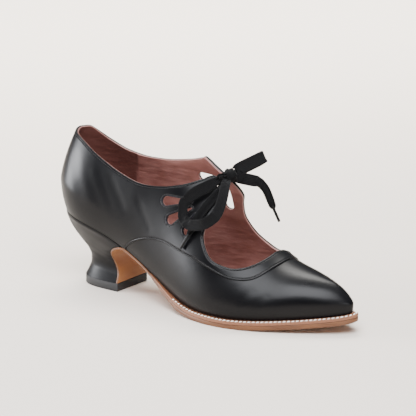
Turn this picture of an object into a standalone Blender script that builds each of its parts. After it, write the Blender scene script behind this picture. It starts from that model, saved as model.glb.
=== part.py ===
"""Lace up heel, the right shoe of a pair, built from the pieces that a maker puts together.

Heel to toe is +X, the outer side of the foot is -Y and up is +Z.  The floor is z = 0.  The form of
the last comes from a short table of stations and every piece is worked out from it: the hollow
upper with its lapped quarter, cut-outs and eyelets, the insole, welt, outsole, heel and top piece.
Run it with: blender --background --python part.py
"""
import math

import bmesh
import bpy
import numpy as np
from mathutils.geometry import delaunay_2d_cdt

# Driving sizes in metres
SHOE_LENGTH = 0.250
TREAD_WIDTH = 0.075
HEEL_LIFT = 0.0536
TOE_SPRING = 0.0086
INSTEP_HEIGHT = 0.0975
UPPER_WALL = 0.0016
LAP_STEP = 0.0008
LAP_EDGE = 0.0005
INSOLE_THICKNESS = 0.0022
WELT_THICKNESS = 0.0020
WELT_OVERHANG = 0.0030
OUTSOLE_THICKNESS = 0.0033
BREAST_LEATHER = 0.0015
TOP_PIECE_HEIGHT = 0.0065
SOLE_EDGE_ROUND = 0.0006
CLEARANCE = 0.0003
PETAL_RADIUS = 0.0035
PETAL_TIP_GAP = 0.0095
PETAL_TIP_RADIUS = 0.0007
EYELET_RADIUS = 0.0026
LACE_WIDTH = 0.0088
LACE_THICKNESS = 0.0013
LACE_GATHERED_WIDTH = 0.0030
LACE_GATHERED_THICKNESS = 0.0018
AGLET_RADIUS = 0.0011
KNOT_RADIUS = 0.0048

# The origin is on the floor, below the middle of the top piece
ORIGIN_ALONG = 0.150 * SHOE_LENGTH

FOREFOOT_STACK = OUTSOLE_THICKNESS + WELT_THICKNESS + 2 * CLEARANCE
FULL_WALL = UPPER_WALL + LAP_STEP

# The last, a row for each station from heel to toe.  along and ridge_along are shares of
# SHOE_LENGTH, outer, inner, ridge_side and bulge of TREAD_WIDTH, rise of HEEL_LIFT, spring of
# TOE_SPRING, ridge_height and belly of INSTEP_HEIGHT.  fullness is the power of the section.
LAST_COLUMNS = ("along", "outer", "inner", "rise", "spring", "ridge_along", "ridge_side",
                "ridge_height", "bulge", "belly", "fullness")
LAST_ROWS = {
    "heel_back":   (0.010, 0.000, 0.000, 1.000, 0.000, 0.136, 0.000, 0.928, 0.053, 0.246, 1.45),
    "heel_corner": (0.034, 0.237, 0.233, 0.972, 0.000, 0.144, 0.000, 0.944, 0.053, 0.246, 1.30),
    "heel_side":   (0.108, 0.367, 0.347, 0.897, 0.000, 0.184, 0.000, 0.985, 0.047, 0.226, 1.20),
    "seat_front":  (0.216, 0.363, 0.307, 0.739, 0.000, 0.264, 0.007, 1.041, 0.040, 0.205, 1.30),
    "waist":       (0.328, 0.355, 0.253, 0.481, 0.000, 0.352, 0.020, 1.090, 0.047, 0.185, 1.50),
    "arch":        (0.432, 0.395, 0.273, 0.203, 0.000, 0.440, 0.040, 1.089, 0.053, 0.164, 1.60),
    "instep":      (0.524, 0.473, 0.360, 0.039, 0.000, 0.520, 0.053, 1.000, 0.060, 0.144, 1.60),
    "ball_rear":   (0.612, 0.528, 0.447, 0.000, 0.000, 0.600, 0.060, 0.867, 0.053, 0.123, 1.60),
    "ball":        (0.700, 0.507, 0.480, 0.000, 0.000, 0.680, 0.053, 0.624, 0.040, 0.103, 1.70),
    "vamp":        (0.788, 0.413, 0.433, 0.000, 0.174, 0.760, 0.047, 0.404, 0.027, 0.092, 1.85),
    "toe_side":    (0.872, 0.273, 0.320, 0.000, 0.407, 0.832, 0.040, 0.333, 0.020, 0.082, 2.10),
    "toe":         (0.940, 0.147, 0.207, 0.000, 0.674, 0.892, 0.040, 0.272, 0.013, 0.072, 2.25),
    "toe_corner":  (0.984, 0.033, 0.113, 0.000, 0.872, 0.928, 0.040, 0.226, 0.007, 0.062, 2.25),
    "toe_tip":     (0.998, -0.040, 0.040, 0.000, 1.000, 0.940, 0.040, 0.200, 0.004, 0.062, 2.25),
}
TIP = len(LAST_ROWS) - 1
AROUND = 2 * TIP

# The edge of the collar, tabs and throat.  station counts the rows above from the heel and
# girth is the share of the way from the feather edge up to the ridge of the instep.
TOP_LINE_OUTER = {
    "heel_back": (0.00, 0.605), "heel_turn": (0.90, 0.600), "heel_side": (1.75, 0.575),
    "ankle_rear": (2.50, 0.520), "ankle_low": (3.30, 0.487), "ankle_front": (4.00, 0.510),
    "quarter_rise": (4.70, 0.595), "tab_root": (5.40, 0.715), "tab_rear": (5.95, 0.840),
    "rear_corner": (6.25, 0.925), "tab_edge": (6.60, 0.950), "front_corner": (6.92, 0.920),
    "tab_neck": (6.88, 0.820), "throat_rear": (6.70, 0.660), "throat_side": (6.66, 0.520),
    "throat_low": (7.05, 0.425), "throat_front": (7.75, 0.440), "throat_turn": (8.30, 0.560),
    "throat_shoulder": (8.68, 0.770), "throat_centre": (8.85, 1.000),
}
TOP_LINE_INNER = {
    "heel_turn": (0.65, 0.606), "heel_corner": (1.10, 0.570), "heel_side": (1.60, 0.523),
    "ankle_rear": (2.20, 0.485), "ankle_low": (2.80, 0.495), "ankle_front": (3.40, 0.545),
    "quarter_rise": (4.10, 0.640), "tab_root": (4.80, 0.765), "tab_rear": (5.25, 0.860),
    "rear_corner": (5.60, 0.940), "tab_edge": (6.25, 0.960), "front_corner": (6.82, 0.955),
    "tab_neck": (6.92, 0.860), "throat_rear": (6.66, 0.700), "throat_side": (6.62, 0.580),
    "throat_low": (6.95, 0.478), "throat_middle": (7.50, 0.440), "throat_front": (8.00, 0.478),
    "throat_turn": (8.42, 0.600), "throat_shoulder": (8.72, 0.785),
}
# The edge of the quarter where it laps over the vamp, station and girth as above, on each side
LAP_LINE = {
    "below_feather": (3.58, -0.04), "waist": (3.64, 0.010), "waist_turn": (3.84, 0.080),
    "arch_rear": (4.12, 0.155), "arch_top": (4.45, 0.222), "arch_front": (4.95, 0.292),
    "side": (5.66, 0.340), "under_tab": (6.35, 0.358), "throat_side": (7.00, 0.350),
    "throat_low": (7.60, 0.350), "throat_front": (8.10, 0.382), "throat_turn": (8.55, 0.465),
    "band_front": (8.95, 0.660), "band_shoulder": (9.22, 0.860), "band_centre": (9.32, 1.000),
}
# Where each fan of petals opens from, station and girth, and each petal's angle from forward
# in degrees and its reach from there in metres
FANS = {
    "outer": ((6.33, 0.715), ((188, 0.0335), (216, 0.0325), (252, 0.0265))),
    "inner": ((-6.35, 0.885), ((190, 0.0293), (223, 0.0290), (258, 0.0290))),
}
EYELETS = {"outer": (6.58, 0.905), "inner": (-6.45, 0.905)}

# The sole's edge, a row for each place on it.  overhang is a share of WELT_OVERHANG, welt of
# WELT_THICKNESS and sole of OUTSOLE_THICKNESS; gap is 1 where the welt lies on the outsole.
SOLE_COLUMNS = ("station", "overhang", "welt", "gap", "sole")
SOLE_ROWS = {
    "breast_lip": (3.40, -0.20, 0.0, 0.0, 0.66),
    "waist":      (4.25, -0.10, 0.0, 0.0, 0.66),
    "arch":       (4.50, 0.00, 0.10, 1.0, 0.70),
    "welt_start": (5.00, 0.40, 0.55, 1.0, 0.85),
    "welt_full":  (5.75, 0.95, 1.00, 1.0, 1.00),
    "ball":       (8.00, 1.00, 1.00, 1.0, 1.00),
    "toe_tip":    (13.00, 1.00, 1.00, 1.0, 1.00),
}
LIP_STATION = 3.45
WELT_STATION = 4.50

# The heel, a row for each level.  height is the share of the way up to the seat, back and breast
# are shares of SHOE_LENGTH, half_width of TREAD_WIDTH and seat is how far the level has the
# outline of the seat and not that of the top piece.
HEEL_COLUMNS = ("height", "back", "breast", "half_width", "seat")
HEEL_ROWS = {
    "top_piece":   (0.000, 0.0710, 0.2220, 0.245, 0.00),
    "flare":       (0.100, 0.0820, 0.2195, 0.216, 0.00),
    "lower_waist": (0.200, 0.0888, 0.2160, 0.192, 0.00),
    "waist":       (0.300, 0.0884, 0.2120, 0.184, 0.05),
    "upper_waist": (0.420, 0.0764, 0.2080, 0.191, 0.12),
    "cup":         (0.580, 0.0476, 0.2040, 0.224, 0.30),
    "cup_upper":   (0.720, 0.0276, 0.2090, 0.267, 0.50),
    "fillet":      (0.840, 0.0170, 0.2230, 0.307, 0.70),
    "fillet_top":  (0.930, 0.0120, 0.2430, 0.337, 0.90),
    "lip":         (0.972, 0.0104, 0.2630, 0.354, 1.00),
    "seat":        (1.000, 0.0100, 0.2650, 0.356, 1.00),
}
HEEL_SQUARENESS = 3.0

# How far off the last the lace bar runs at each eyelet, from above the tab to below it
BAR_LEVELS = (0.0018, 0.0006, -0.0012, -0.0042, -0.0066)
# The knot, a row for each level across the shoe, as shares of its radius
KNOT_CENTRE = (0.1459, 0.0019, 0.0983)
KNOT_ROWS = ((-0.98, 0.30), (-0.88, 0.62), (-0.62, 0.86), (-0.30, 0.98), (0.00, 1.02),
             (0.30, 0.98), (0.62, 0.86), (0.88, 0.62), (0.98, 0.30))
# The bow's routes from the knot, along, across and up in metres from the heel on the floor, and
# how broad the band shows there as a share of LACE_WIDTH, less where it is gathered or turned
BOW_FACING = (0.54, -0.80, 0.26)
BOW_ROUTES = {
    "lace_loop_left": (
        (0.1479, -0.0052, 0.0970, 0.34), (0.1512, -0.0128, 0.0931, 0.52),
        (0.1534, -0.0193, 0.0858, 0.66), (0.1541, -0.0250, 0.0790, 0.74),
        (0.1525, -0.0305, 0.0743, 0.84), (0.1473, -0.0342, 0.0706, 0.92),
        (0.1390, -0.0348, 0.0688, 0.90), (0.1326, -0.0340, 0.0703, 0.82),
        (0.1286, -0.0324, 0.0741, 0.66), (0.1275, -0.0306, 0.0790, 0.66),
        (0.1290, -0.0277, 0.0843, 0.86), (0.1336, -0.0236, 0.0895, 0.98),
        (0.1394, -0.0173, 0.0938, 0.90), (0.1432, -0.0094, 0.0973, 0.60),
        (0.1452, -0.0042, 0.1000, 0.36)),
    "lace_end_left": (
        (0.1456, -0.0040, 0.0941, 0.32), (0.1455, -0.0107, 0.0907, 0.50),
        (0.1440, -0.0172, 0.0852, 0.70), (0.1415, -0.0222, 0.0800, 0.74),
        (0.1383, -0.0275, 0.0728, 0.72), (0.1364, -0.0311, 0.0659, 0.60),
        (0.1339, -0.0339, 0.0595, 0.34)),
    "lace_loop_right": (
        (0.1487, 0.0058, 0.1020, 0.36), (0.1508, 0.0130, 0.1045, 0.92),
        (0.1532, 0.0210, 0.1065, 1.00), (0.1552, 0.0275, 0.1082, 1.00),
        (0.1560, 0.0300, 0.1088, 1.00), (0.1553, 0.0322, 0.1083, 1.00),
        (0.1540, 0.0328, 0.1075, 1.00), (0.1526, 0.0308, 0.1061, 1.00),
        (0.1506, 0.0252, 0.1044, 1.00), (0.1487, 0.0172, 0.1024, 0.92),
        (0.1469, 0.0076, 0.0993, 0.32)),
    "lace_end_right": (
        (0.1500, 0.0054, 0.0973, 0.34), (0.1529, 0.0094, 0.0959, 0.92),
        (0.1555, 0.0135, 0.0945, 0.98), (0.1587, 0.0175, 0.0931, 0.86),
        (0.1612, 0.0206, 0.0902, 0.74), (0.1633, 0.0232, 0.0855, 0.68),
        (0.1648, 0.0250, 0.0800, 0.66), (0.1660, 0.0262, 0.0755, 0.62),
        (0.1668, 0.0269, 0.0722, 0.40)),
}
AGLET_ENDS = {
    "aglet_left": ((0.1337, -0.0342, 0.0590), (0.1295, -0.0366, 0.0505)),
    "aglet_right": ((0.1671, 0.0271, 0.0718), (0.1708, 0.0292, 0.0622)),
}

# How finely the pieces are faceted
LINES_PER_STATION = 8
GIRTH_SAMPLES = 49
SECTION_SAMPLES = 48
EDGE_STEP = 0.25
GRID_STEP = 0.25
GRID_GIRTHS = 14
OUTLINE_SPACING = 0.0030
GRID_MARGIN = 0.0020
RIBBON_SPACING = 0.0028

COLOURS = {
    "black_leather": ((0.016, 0.016, 0.019), 0.34),
    "lining_leather": ((0.165, 0.052, 0.040), 0.60),
    "welt_leather": ((0.215, 0.095, 0.045), 0.55),
    "sole_leather": ((0.195, 0.080, 0.040), 0.50),
    "top_piece_rubber": ((0.020, 0.020, 0.021), 0.55),
    "lace_cotton": ((0.013, 0.013, 0.014), 0.85),
    "aglet": ((0.015, 0.015, 0.016), 0.35),
}

# The steepest that the ridge may fall toward the toe, as a slope
STEEPEST_RIDGE = 1.25
# How far the outsole's edge starts from the heel's lip, in stations
LIP_GAP = 0.10
# A band's section, as shares of its width and its thickness
RIBBON_CORNERS = ((-0.5, -0.2), (-0.5, 0.2), (-0.42, 0.5), (0.42, 0.5),
                  (0.5, 0.2), (0.5, -0.2), (0.42, -0.5), (-0.42, -0.5))


def smooth_bend(values, closed):
    """Second derivatives of the cubic spline through evenly numbered rows of values."""
    count = len(values)
    system = 4.0 * np.eye(count) + np.eye(count, k=1) + np.eye(count, k=-1)
    right = np.zeros_like(values)
    right[1:-1] = 6.0 * (values[2:] - 2 * values[1:-1] + values[:-2])
    if closed:
        system[0, -1] = system[-1, 0] = 1.0
        right[0] = 6.0 * (values[1] - 2 * values[0] + values[-1])
        right[-1] = 6.0 * (values[0] - 2 * values[-1] + values[-2])
    return np.linalg.solve(system, right)


class Last:
    """The form that the shoe is made on: places on it are a station and a share of the girth."""

    def __init__(self):
        outer, inner = [], []
        for values in LAST_ROWS.values():
            row = dict(zip(LAST_COLUMNS, values))
            bottom = FOREFOOT_STACK + row["rise"] * HEEL_LIFT + row["spring"] * TOE_SPRING
            ridge = (row["ridge_along"] * SHOE_LENGTH, row["ridge_side"] * TREAD_WIDTH,
                     bottom + row["ridge_height"] * INSTEP_HEIGHT)
            form = (row["bulge"] * TREAD_WIDTH, row["belly"] * INSTEP_HEIGHT, row["fullness"])
            along = row["along"] * SHOE_LENGTH
            outer.append((along, -row["outer"] * TREAD_WIDTH, bottom, *ridge, *form))
            inner.append((along, row["inner"] * TREAD_WIDTH, bottom, *ridge, *form))
        self.rows = np.array(outer + inner[-2:0:-1])
        self.bend = smooth_bend(self.rows, closed=True)
        self.lines = np.arange(AROUND * LINES_PER_STATION) / LINES_PER_STATION
        shares = np.linspace(0.0, 1.0, GIRTH_SAMPLES)
        grid, girths = [], []
        for station in self.lines:
            line = self.section(station)
            steps = np.linalg.norm(np.diff(line, axis=0), axis=1)
            travelled = np.concatenate([[0.0], np.cumsum(steps)])
            girths.append(travelled[-1])
            wanted = shares * travelled[-1]
            grid.append(np.stack([np.interp(wanted, travelled, line[:, k]) for k in range(3)], 1))
        self.grid = np.array(grid)
        rows = self.row(self.lines)
        spokes = rows[:, 0:2] - rows[:, 3:5]
        spokes /= np.linalg.norm(spokes, axis=1)[:, None]
        self.ridge = rows[:, 3:5]
        self.spokes = spokes * np.array(girths)[:, None]
        forward = np.roll(self.grid, -1, 0) - np.roll(self.grid, 1, 0)
        upward = np.gradient(self.grid, axis=1)
        normals = np.cross(forward, upward)
        mirrored = (-np.arange(len(self.lines))) % len(self.lines)
        normals[:, -1] = normals[:, -3] + normals[mirrored, -3]
        self.normals = normals / np.linalg.norm(normals, axis=2)[:, :, None]

    def row(self, station):
        """The table's values at any station, positive on the outer side, negative inside."""
        place = np.asarray(station, float) % AROUND
        first = np.floor(place).astype(int) % AROUND
        second = (first + 1) % AROUND
        share = (place - np.floor(place))[..., None]
        rest = 1.0 - share
        straight = rest * self.rows[first] + share * self.rows[second]
        curved = (rest ** 3 - rest) * self.bend[first] + (share ** 3 - share) * self.bend[second]
        return straight + curved / 6.0

    def section(self, station):
        """One line over the last, from the feather edge out over the belly and up to the ridge."""
        x, y, bottom, ridge_x, ridge_y, ridge_z, bulge, belly, fullness = self.row(station)
        before, after = self.row(station - 0.05), self.row(station + 0.05)
        run = after[3] - before[3]
        if abs(run) < 1e-6:
            slope = (ridge_z - before[5]) / (ridge_x - before[3])
        else:
            slope = (after[5] - before[5]) / run
        slope = min(0.0, max(-STEEPEST_RIDGE, slope))
        reach = math.hypot(x - ridge_x, y - ridge_y)
        away = np.array([x - ridge_x, y - ridge_y]) / reach
        low = np.linspace(0.0, 1.0, SECTION_SAMPLES // 4, endpoint=False)
        turn = np.linspace(0.0, math.pi / 2, SECTION_SAMPLES * 3 // 4)
        power = 2.0 / fullness
        out_low = reach + bulge * (1.0 - (1.0 - low) ** 2)
        out_high = (reach + bulge) * np.maximum(np.cos(turn), 0.0) ** power
        out_high[-1] = 0.0
        climb = np.sin(turn) ** power
        plane = ridge_z + slope * away[0] * out_high
        high = bottom + belly + (plane - bottom - belly) * climb
        outs = np.concatenate([out_low, out_high])
        heights = np.concatenate([bottom + belly * low, high])
        return np.stack([ridge_x + away[0] * outs, ridge_y + away[1] * outs, heights], 1)

    def sample(self, field, station, girth):
        """Read a field of the fine grid between its lines."""
        place = (np.asarray(station, float) % AROUND) * LINES_PER_STATION
        level = np.clip(girth, 0.0, 1.0) * (GIRTH_SAMPLES - 1)
        i = np.floor(place).astype(int) % len(self.lines)
        j = np.minimum(np.floor(level).astype(int), GIRTH_SAMPLES - 2)
        k = (i + 1) % len(self.lines)
        u = (place - np.floor(place))[..., None]
        v = (level - j)[..., None]
        near = field[i, j] * (1 - v) + field[i, j + 1] * v
        far = field[k, j] * (1 - v) + field[k, j + 1] * v
        return near * (1 - u) + far * u

    def place(self, station, girth, lift=0.0):
        """A point on the last, lifted off it along its normal."""
        point = self.sample(self.grid, station, girth)
        normal = self.sample(self.normals, station, girth)
        normal = normal / np.linalg.norm(normal, axis=-1)[..., None]
        return point + normal * np.asarray(lift, float)[..., None]

    def flat(self, station, girth):
        """Where a place lies in the flat pattern, each girth line unrolled out from the ridge."""
        place = (np.asarray(station, float) % AROUND) * LINES_PER_STATION
        i = np.floor(place).astype(int) % len(self.lines)
        k = (i + 1) % len(self.lines)
        u = (place - np.floor(place))[..., None]
        ridge = self.ridge[i] * (1 - u) + self.ridge[k] * u
        spoke = self.spokes[i] * (1 - u) + self.spokes[k] * u
        return ridge + spoke * (1.0 - np.asarray(girth, float))[..., None]

    def solve(self, target, wanted, station, girth):
        """Move a station and girth until target(station, girth) is nearest to wanted."""
        step = 1e-3
        for _ in range(14):
            here = target(station, girth)
            along = (target(station + step, girth) - target(station - step, girth)) / (2 * step)
            up_girth, down_girth = np.minimum(girth + step, 1.0), girth - step
            up = (target(station, up_girth) - target(station, down_girth))
            up = up / (up_girth - down_girth)[..., None]
            miss = wanted - here
            aa, bb = (along * along).sum(-1), (up * up).sum(-1)
            ab = (along * up).sum(-1)
            ra, rb = (along * miss).sum(-1), (up * miss).sum(-1)
            scale = aa * bb - ab * ab + 1e-12 * (aa + bb) + 1e-30
            station = station + np.clip((ra * bb - rb * ab) / scale, -0.5, 0.5)
            girth = np.minimum(girth + np.clip((rb * aa - ra * ab) / scale, -0.1, 0.1), 1.0)
        return station, girth

    def fold(self, points):
        """Stations and girths of points in the flat pattern."""
        lines, girths = np.meshgrid(self.lines, np.linspace(0.0, 0.98, 25), indexing="ij")
        known = self.flat(lines.ravel(), girths.ravel())
        gaps = ((points[:, None, :] - known[None, :, :]) ** 2).sum(-1)
        nearest = gaps.argmin(1)
        return self.solve(self.flat, points, lines.ravel()[nearest], girths.ravel()[nearest])

    def walk(self, station, girth, forward, up):
        """The place on the last that lies forward and up from another, over its surface."""
        start = self.place(station, girth)
        normal = self.place(station, girth, 1.0) - start
        ahead = np.array([1.0, 0.0, 0.0]) - normal * normal[0]
        ahead /= np.linalg.norm(ahead)
        above = np.cross(normal, ahead)
        above *= math.copysign(1.0, above[2])
        forward, up = np.atleast_1d(forward), np.atleast_1d(up)
        wanted = start + forward[:, None] * ahead + up[:, None] * above
        stations = np.full(len(forward), float(station))
        return self.solve(self.place, wanted, stations, np.full(len(forward), float(girth)))

    def feather(self, station, outward):
        """Points on the feather edge, pushed outward in plan."""
        here = self.row(station)[..., 0:3]
        run = self.row(station + 0.02)[..., 0:2] - self.row(station - 0.02)[..., 0:2]
        run = run / np.linalg.norm(run, axis=-1)[..., None]
        out = np.stack([run[..., 1], -run[..., 0], np.zeros_like(run[..., 0])], -1)
        return here + out * np.asarray(outward, float)[..., None]


LAST = Last()


def read_rows(rows, columns, at, key):
    """Values of a table's columns at a place between its rows, by its key column."""
    table = np.array(list(rows.values()))
    keys = table[:, columns.index(key)]
    return {name: np.interp(at, keys, table[:, columns.index(name)]) for name in columns}


def through(points, spacing, closed):
    """Points at a spacing along a smooth curve through a few points, corners kept tight."""
    points = np.asarray(points, float)
    count = len(points)
    ends = points if closed else np.vstack([2 * points[0] - points[1], points,
                                            2 * points[-1] - points[-2]])
    spans = count if closed else count - 1
    out = []
    for index in range(spans):
        first = index - 1 if closed else index
        a, b, c, d = (ends[(first + k) % len(ends)] for k in range(4))
        knots = [0.0]
        for p, q in ((a, b), (b, c), (c, d)):
            knots.append(knots[-1] + max(math.sqrt(np.linalg.norm(q - p)), 1e-6))
        t0, t1, t2, t3 = knots
        steps = max(1, round(np.linalg.norm(c - b) / spacing))
        for t in np.linspace(t1, t2, steps, endpoint=False):
            ab = ((t1 - t) * a + (t - t0) * b) / (t1 - t0)
            bc = ((t2 - t) * b + (t - t1) * c) / (t2 - t1)
            cd = ((t3 - t) * c + (t - t2) * d) / (t3 - t2)
            abc = ((t2 - t) * ab + (t - t0) * bc) / (t2 - t0)
            bcd = ((t3 - t) * bc + (t - t1) * cd) / (t3 - t1)
            out.append(((t2 - t) * abc + (t - t1) * bcd) / (t2 - t1))
    if not closed:
        out.append(points[-1])
    return np.array(out)


def inside(points, loop):
    """Which flat points lie inside a closed loop."""
    result = np.zeros(len(points), bool)
    ends = np.roll(loop, -1, 0)
    for (ax, ay), (bx, by) in zip(loop, ends):
        crosses = (ay > points[:, 1]) != (by > points[:, 1])
        level = np.where(crosses, (points[:, 1] - ay) / (by - ay if by != ay else 1.0), 0.0)
        result ^= crosses & (points[:, 0] < ax + level * (bx - ax))
    return result


def distance_to(points, polyline, closed):
    """Distance of flat points from a line of straight pieces."""
    ends = np.roll(polyline, -1, 0) if closed else polyline[1:]
    starts = polyline if closed else polyline[:-1]
    best = np.full(len(points), np.inf)
    for a, b in zip(starts, ends):
        run = b - a
        share = np.clip(((points - a) @ run) / max(run @ run, 1e-12), 0.0, 1.0)
        best = np.minimum(best, np.linalg.norm(points - a - share[:, None] * run, axis=1))
    return best


def top_line():
    """The loop of the collar, tabs and throat in the flat pattern."""
    outer = [LAST.flat(s, g) for s, g in TOP_LINE_OUTER.values()]
    inner = [LAST.flat(-s, g) for s, g in TOP_LINE_INNER.values()]
    return through(outer + inner[::-1], OUTLINE_SPACING, closed=True)


def lap_line():
    """The lapped edge of the quarter in the flat pattern, from side to side round the throat."""
    rows = list(LAP_LINE.values())
    outer = [LAST.flat(s, g) for s, g in rows]
    inner = [LAST.flat(-s, g) for s, g in rows[:-1]]
    return through(outer + inner[::-1], OUTLINE_SPACING, closed=False)


def petal_loops():
    """The teardrop cut-outs of both fans in the flat pattern."""
    loops = []
    for centre, petals in FANS.values():
        for angle, reach in petals:
            heading = math.radians(angle)
            middle = 0.5 * (PETAL_TIP_GAP + reach)
            half = 0.5 * (reach - PETAL_TIP_GAP)
            ahead, above = math.cos(heading), math.sin(heading)
            station, girth = LAST.walk(*centre, middle * ahead, middle * above)
            lean = math.asin((PETAL_RADIUS - PETAL_TIP_RADIUS) / (2 * half - PETAL_RADIUS))
            big = np.linspace(-math.pi / 2 - lean, math.pi / 2 + lean, 10)
            small = np.linspace(math.pi / 2 + lean, 3 * math.pi / 2 - lean, 4)
            length = np.concatenate([half - PETAL_RADIUS + PETAL_RADIUS * np.cos(big),
                                     PETAL_TIP_RADIUS - half + PETAL_TIP_RADIUS * np.cos(small)])
            across = np.concatenate([PETAL_RADIUS * np.sin(big),
                                     PETAL_TIP_RADIUS * np.sin(small)])
            forward = length * ahead - across * above
            up = length * above + across * ahead
            loops.append(LAST.flat(*LAST.walk(station[0], girth[0], forward, up)))
    return loops


def eyelet_loops():
    """The lace holes in the flat pattern."""
    turns = np.linspace(0.0, 2 * math.pi, 12, endpoint=False)
    forward, up = EYELET_RADIUS * np.cos(turns), EYELET_RADIUS * np.sin(turns)
    return [LAST.flat(*LAST.walk(s, g, forward, up)) for s, g in EYELETS.values()]


def plain_material(colour):
    """The material of a colour's name, made when it is first asked for."""
    if colour in bpy.data.materials:
        return bpy.data.materials[colour]
    rgb, roughness = COLOURS[colour]
    material = bpy.data.materials.new(colour)
    material.use_nodes = True
    shader = material.node_tree.nodes["Principled BSDF"]
    shader.inputs["Base Color"].default_value = (*rgb, 1.0)
    shader.inputs["Roughness"].default_value = roughness
    return material


def new_object(name, vertices, faces, colour):
    """A closed mesh object with its own material, faces pointing out."""
    mesh = bpy.data.meshes.new(name)
    placed = np.asarray(vertices) - np.array([ORIGIN_ALONG, 0.0, 0.0])
    mesh.from_pydata([tuple(v) for v in placed], [], [tuple(f) for f in faces])
    work = bmesh.new()
    work.from_mesh(mesh)
    bmesh.ops.remove_doubles(work, verts=work.verts, dist=2e-5)
    bmesh.ops.dissolve_degenerate(work, edges=work.edges, dist=1e-5)
    bmesh.ops.recalc_face_normals(work, faces=work.faces)
    work.to_mesh(mesh)
    work.free()
    mesh.shade_smooth()
    mesh.set_sharp_from_angle(angle=math.radians(40))
    mesh.materials.append(plain_material(colour))
    part = bpy.data.objects.new(name, mesh)
    bpy.data.collections["lace_up_heel"].objects.link(part)
    return part


def turn_edges(points, triangles, fixed):
    """Turn the triangles' shared edges so that they follow the form, but for a fixed line's."""
    work = bmesh.new()
    corners = [work.verts.new(p) for p in points]
    for triangle in triangles:
        work.faces.new([corners[k] for k in triangle])
    work.verts.index_update()
    free = [e for e in work.edges if len(e.link_faces) == 2
            and not (fixed[e.verts[0].index] and fixed[e.verts[1].index])]
    bmesh.ops.beautify_fill(work, faces=work.faces, edges=free, method="ANGLE")
    turned = np.array([[v.index for v in face.verts] for face in work.faces])
    work.free()
    return turned


def build_upper():
    """The hollow upper: a flat pattern with its cut-outs, wrapped over the last and thickened."""
    edge = np.arange(0, AROUND, EDGE_STEP)
    feather = LAST.flat(edge, np.zeros(len(edge)))
    opening = top_line()
    holes = petal_loops() + eyelet_loops()
    lap = lap_line()
    run = np.gradient(lap, axis=0)
    run /= np.linalg.norm(run, axis=1)[:, None]
    toward_vamp = np.stack([run[:, 1], -run[:, 0]], 1)
    toe_side = LAST.flat(TIP, 0.0)
    middle = len(lap) // 2
    if (toe_side - lap[middle]) @ toward_vamp[middle] < 0:
        toward_vamp = -toward_vamp
    lap_foot = lap + toward_vamp * LAP_EDGE
    round_toe = LAST.flat(np.arange(LAP_LINE["waist"][0], AROUND - LAP_LINE["waist"][0], EDGE_STEP),
                          np.float64(-0.2))
    vamp_region = np.vstack([lap + toward_vamp * LAP_EDGE / 2, round_toe[::-1]])

    stations = np.arange(0, AROUND, GRID_STEP)
    girths = np.linspace(0.0, 1.0, GRID_GIRTHS + 1)[1:]
    lines, levels = np.meshgrid(stations, girths, indexing="ij")
    keep = (levels < 0.999) | (lines <= TIP)
    grid = LAST.flat(lines[keep], levels[keep])
    loops = [opening, *holes]
    free = ~inside(grid, opening)
    for loop in loops:
        free &= ~inside(grid, loop)
        free &= distance_to(grid, loop, closed=True) > GRID_MARGIN
    free &= distance_to(grid, lap, closed=False) > GRID_MARGIN
    free &= distance_to(grid, feather, closed=True) > GRID_MARGIN

    points, edges = [], []
    for line, closed in ((feather, True), (opening, True), (lap, False), (lap_foot, False),
                         *((hole, True) for hole in holes)):
        first = len(points)
        points.extend(line)
        edges.extend((first + k, first + k + 1) for k in range(len(line) - 1))
        if closed:
            edges.append((first + len(line) - 1, first))
    points.extend(grid[free])
    flat, _, triangles, sources, *_ = delaunay_2d_cdt([tuple(p) for p in points], edges, [], 0, 1e-6)
    flat = np.array([tuple(p) for p in flat])
    triangles = np.array([tuple(t) for t in triangles])
    centres = flat[triangles].mean(1)
    kept = inside(centres, feather)
    for loop in loops:
        kept &= ~inside(centres, loop)
    triangles = triangles[kept]

    step_rows = range(len(feather) + len(opening), len(feather) + len(opening) + 2 * len(lap))
    on_step = np.array([any(k in step_rows for k in source) for source in sources])

    station, girth = LAST.fold(flat)
    on_vamp = inside(flat, vamp_region)
    triangles = turn_edges(LAST.place(station, girth), triangles, on_step)
    outer = LAST.place(station, girth, np.where(on_vamp, -LAP_STEP, 0.0))
    inner = LAST.place(station, girth, np.full(len(flat), -FULL_WALL))
    count = len(flat)
    faces = [tuple(t) for t in triangles]
    faces += [tuple(t[::-1] + count) for t in triangles]
    seen = {(a, b) for t in triangles for a, b in zip(t, np.roll(t, -1))}
    faces += [(b, a, a + count, b + count) for a, b in seen if (b, a) not in seen]
    used = np.unique(np.concatenate([triangles.ravel(), triangles.ravel() + count]))
    order = np.full(2 * count, -1)
    order[used] = np.arange(len(used))
    vertices = np.vstack([outer, inner])[used]
    return new_object("upper", vertices, [[order[v] for v in f] for f in faces], "black_leather")


def stack(name, rings, colour):
    """A solid through rings of points, each running from one side round an end to the other."""
    rings = [np.asarray(ring) for ring in rings]
    count = len(rings[0])
    vertices = np.vstack(rings)
    faces = []
    for level in range(len(rings) - 1):
        low, high = level * count, (level + 1) * count
        for k in range(count):
            n = (k + 1) % count
            faces.append((low + k, low + n, high + n, high + k))
    for start in (0, (len(rings) - 1) * count):
        for k in range(count // 2):
            across = (start + k, start + k + 1, start + count - 2 - k, start + count - 1 - k)
            if len(set(across)) > 2:
                faces.append(tuple(dict.fromkeys(across)))
    return new_object(name, vertices, faces, colour)


def build_insole():
    """The insole, from side to side inside the upper."""
    stations = np.arange(0, AROUND + EDGE_STEP / 2, EDGE_STEP)
    edge = LAST.feather(stations, np.full(len(stations), -(FULL_WALL + 2 * CLEARANCE)))
    edge[:, 2] = LAST.row(stations)[:, 2]
    top = edge + np.array([0.0, 0.0, INSOLE_THICKNESS])
    return stack("insole", [edge, top], "lining_leather")


def sole_rows(stations):
    """The sole table's columns at stations on either side."""
    side = np.minimum(stations % AROUND, -stations % AROUND)
    return read_rows(SOLE_ROWS, SOLE_COLUMNS, side, "station")


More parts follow.
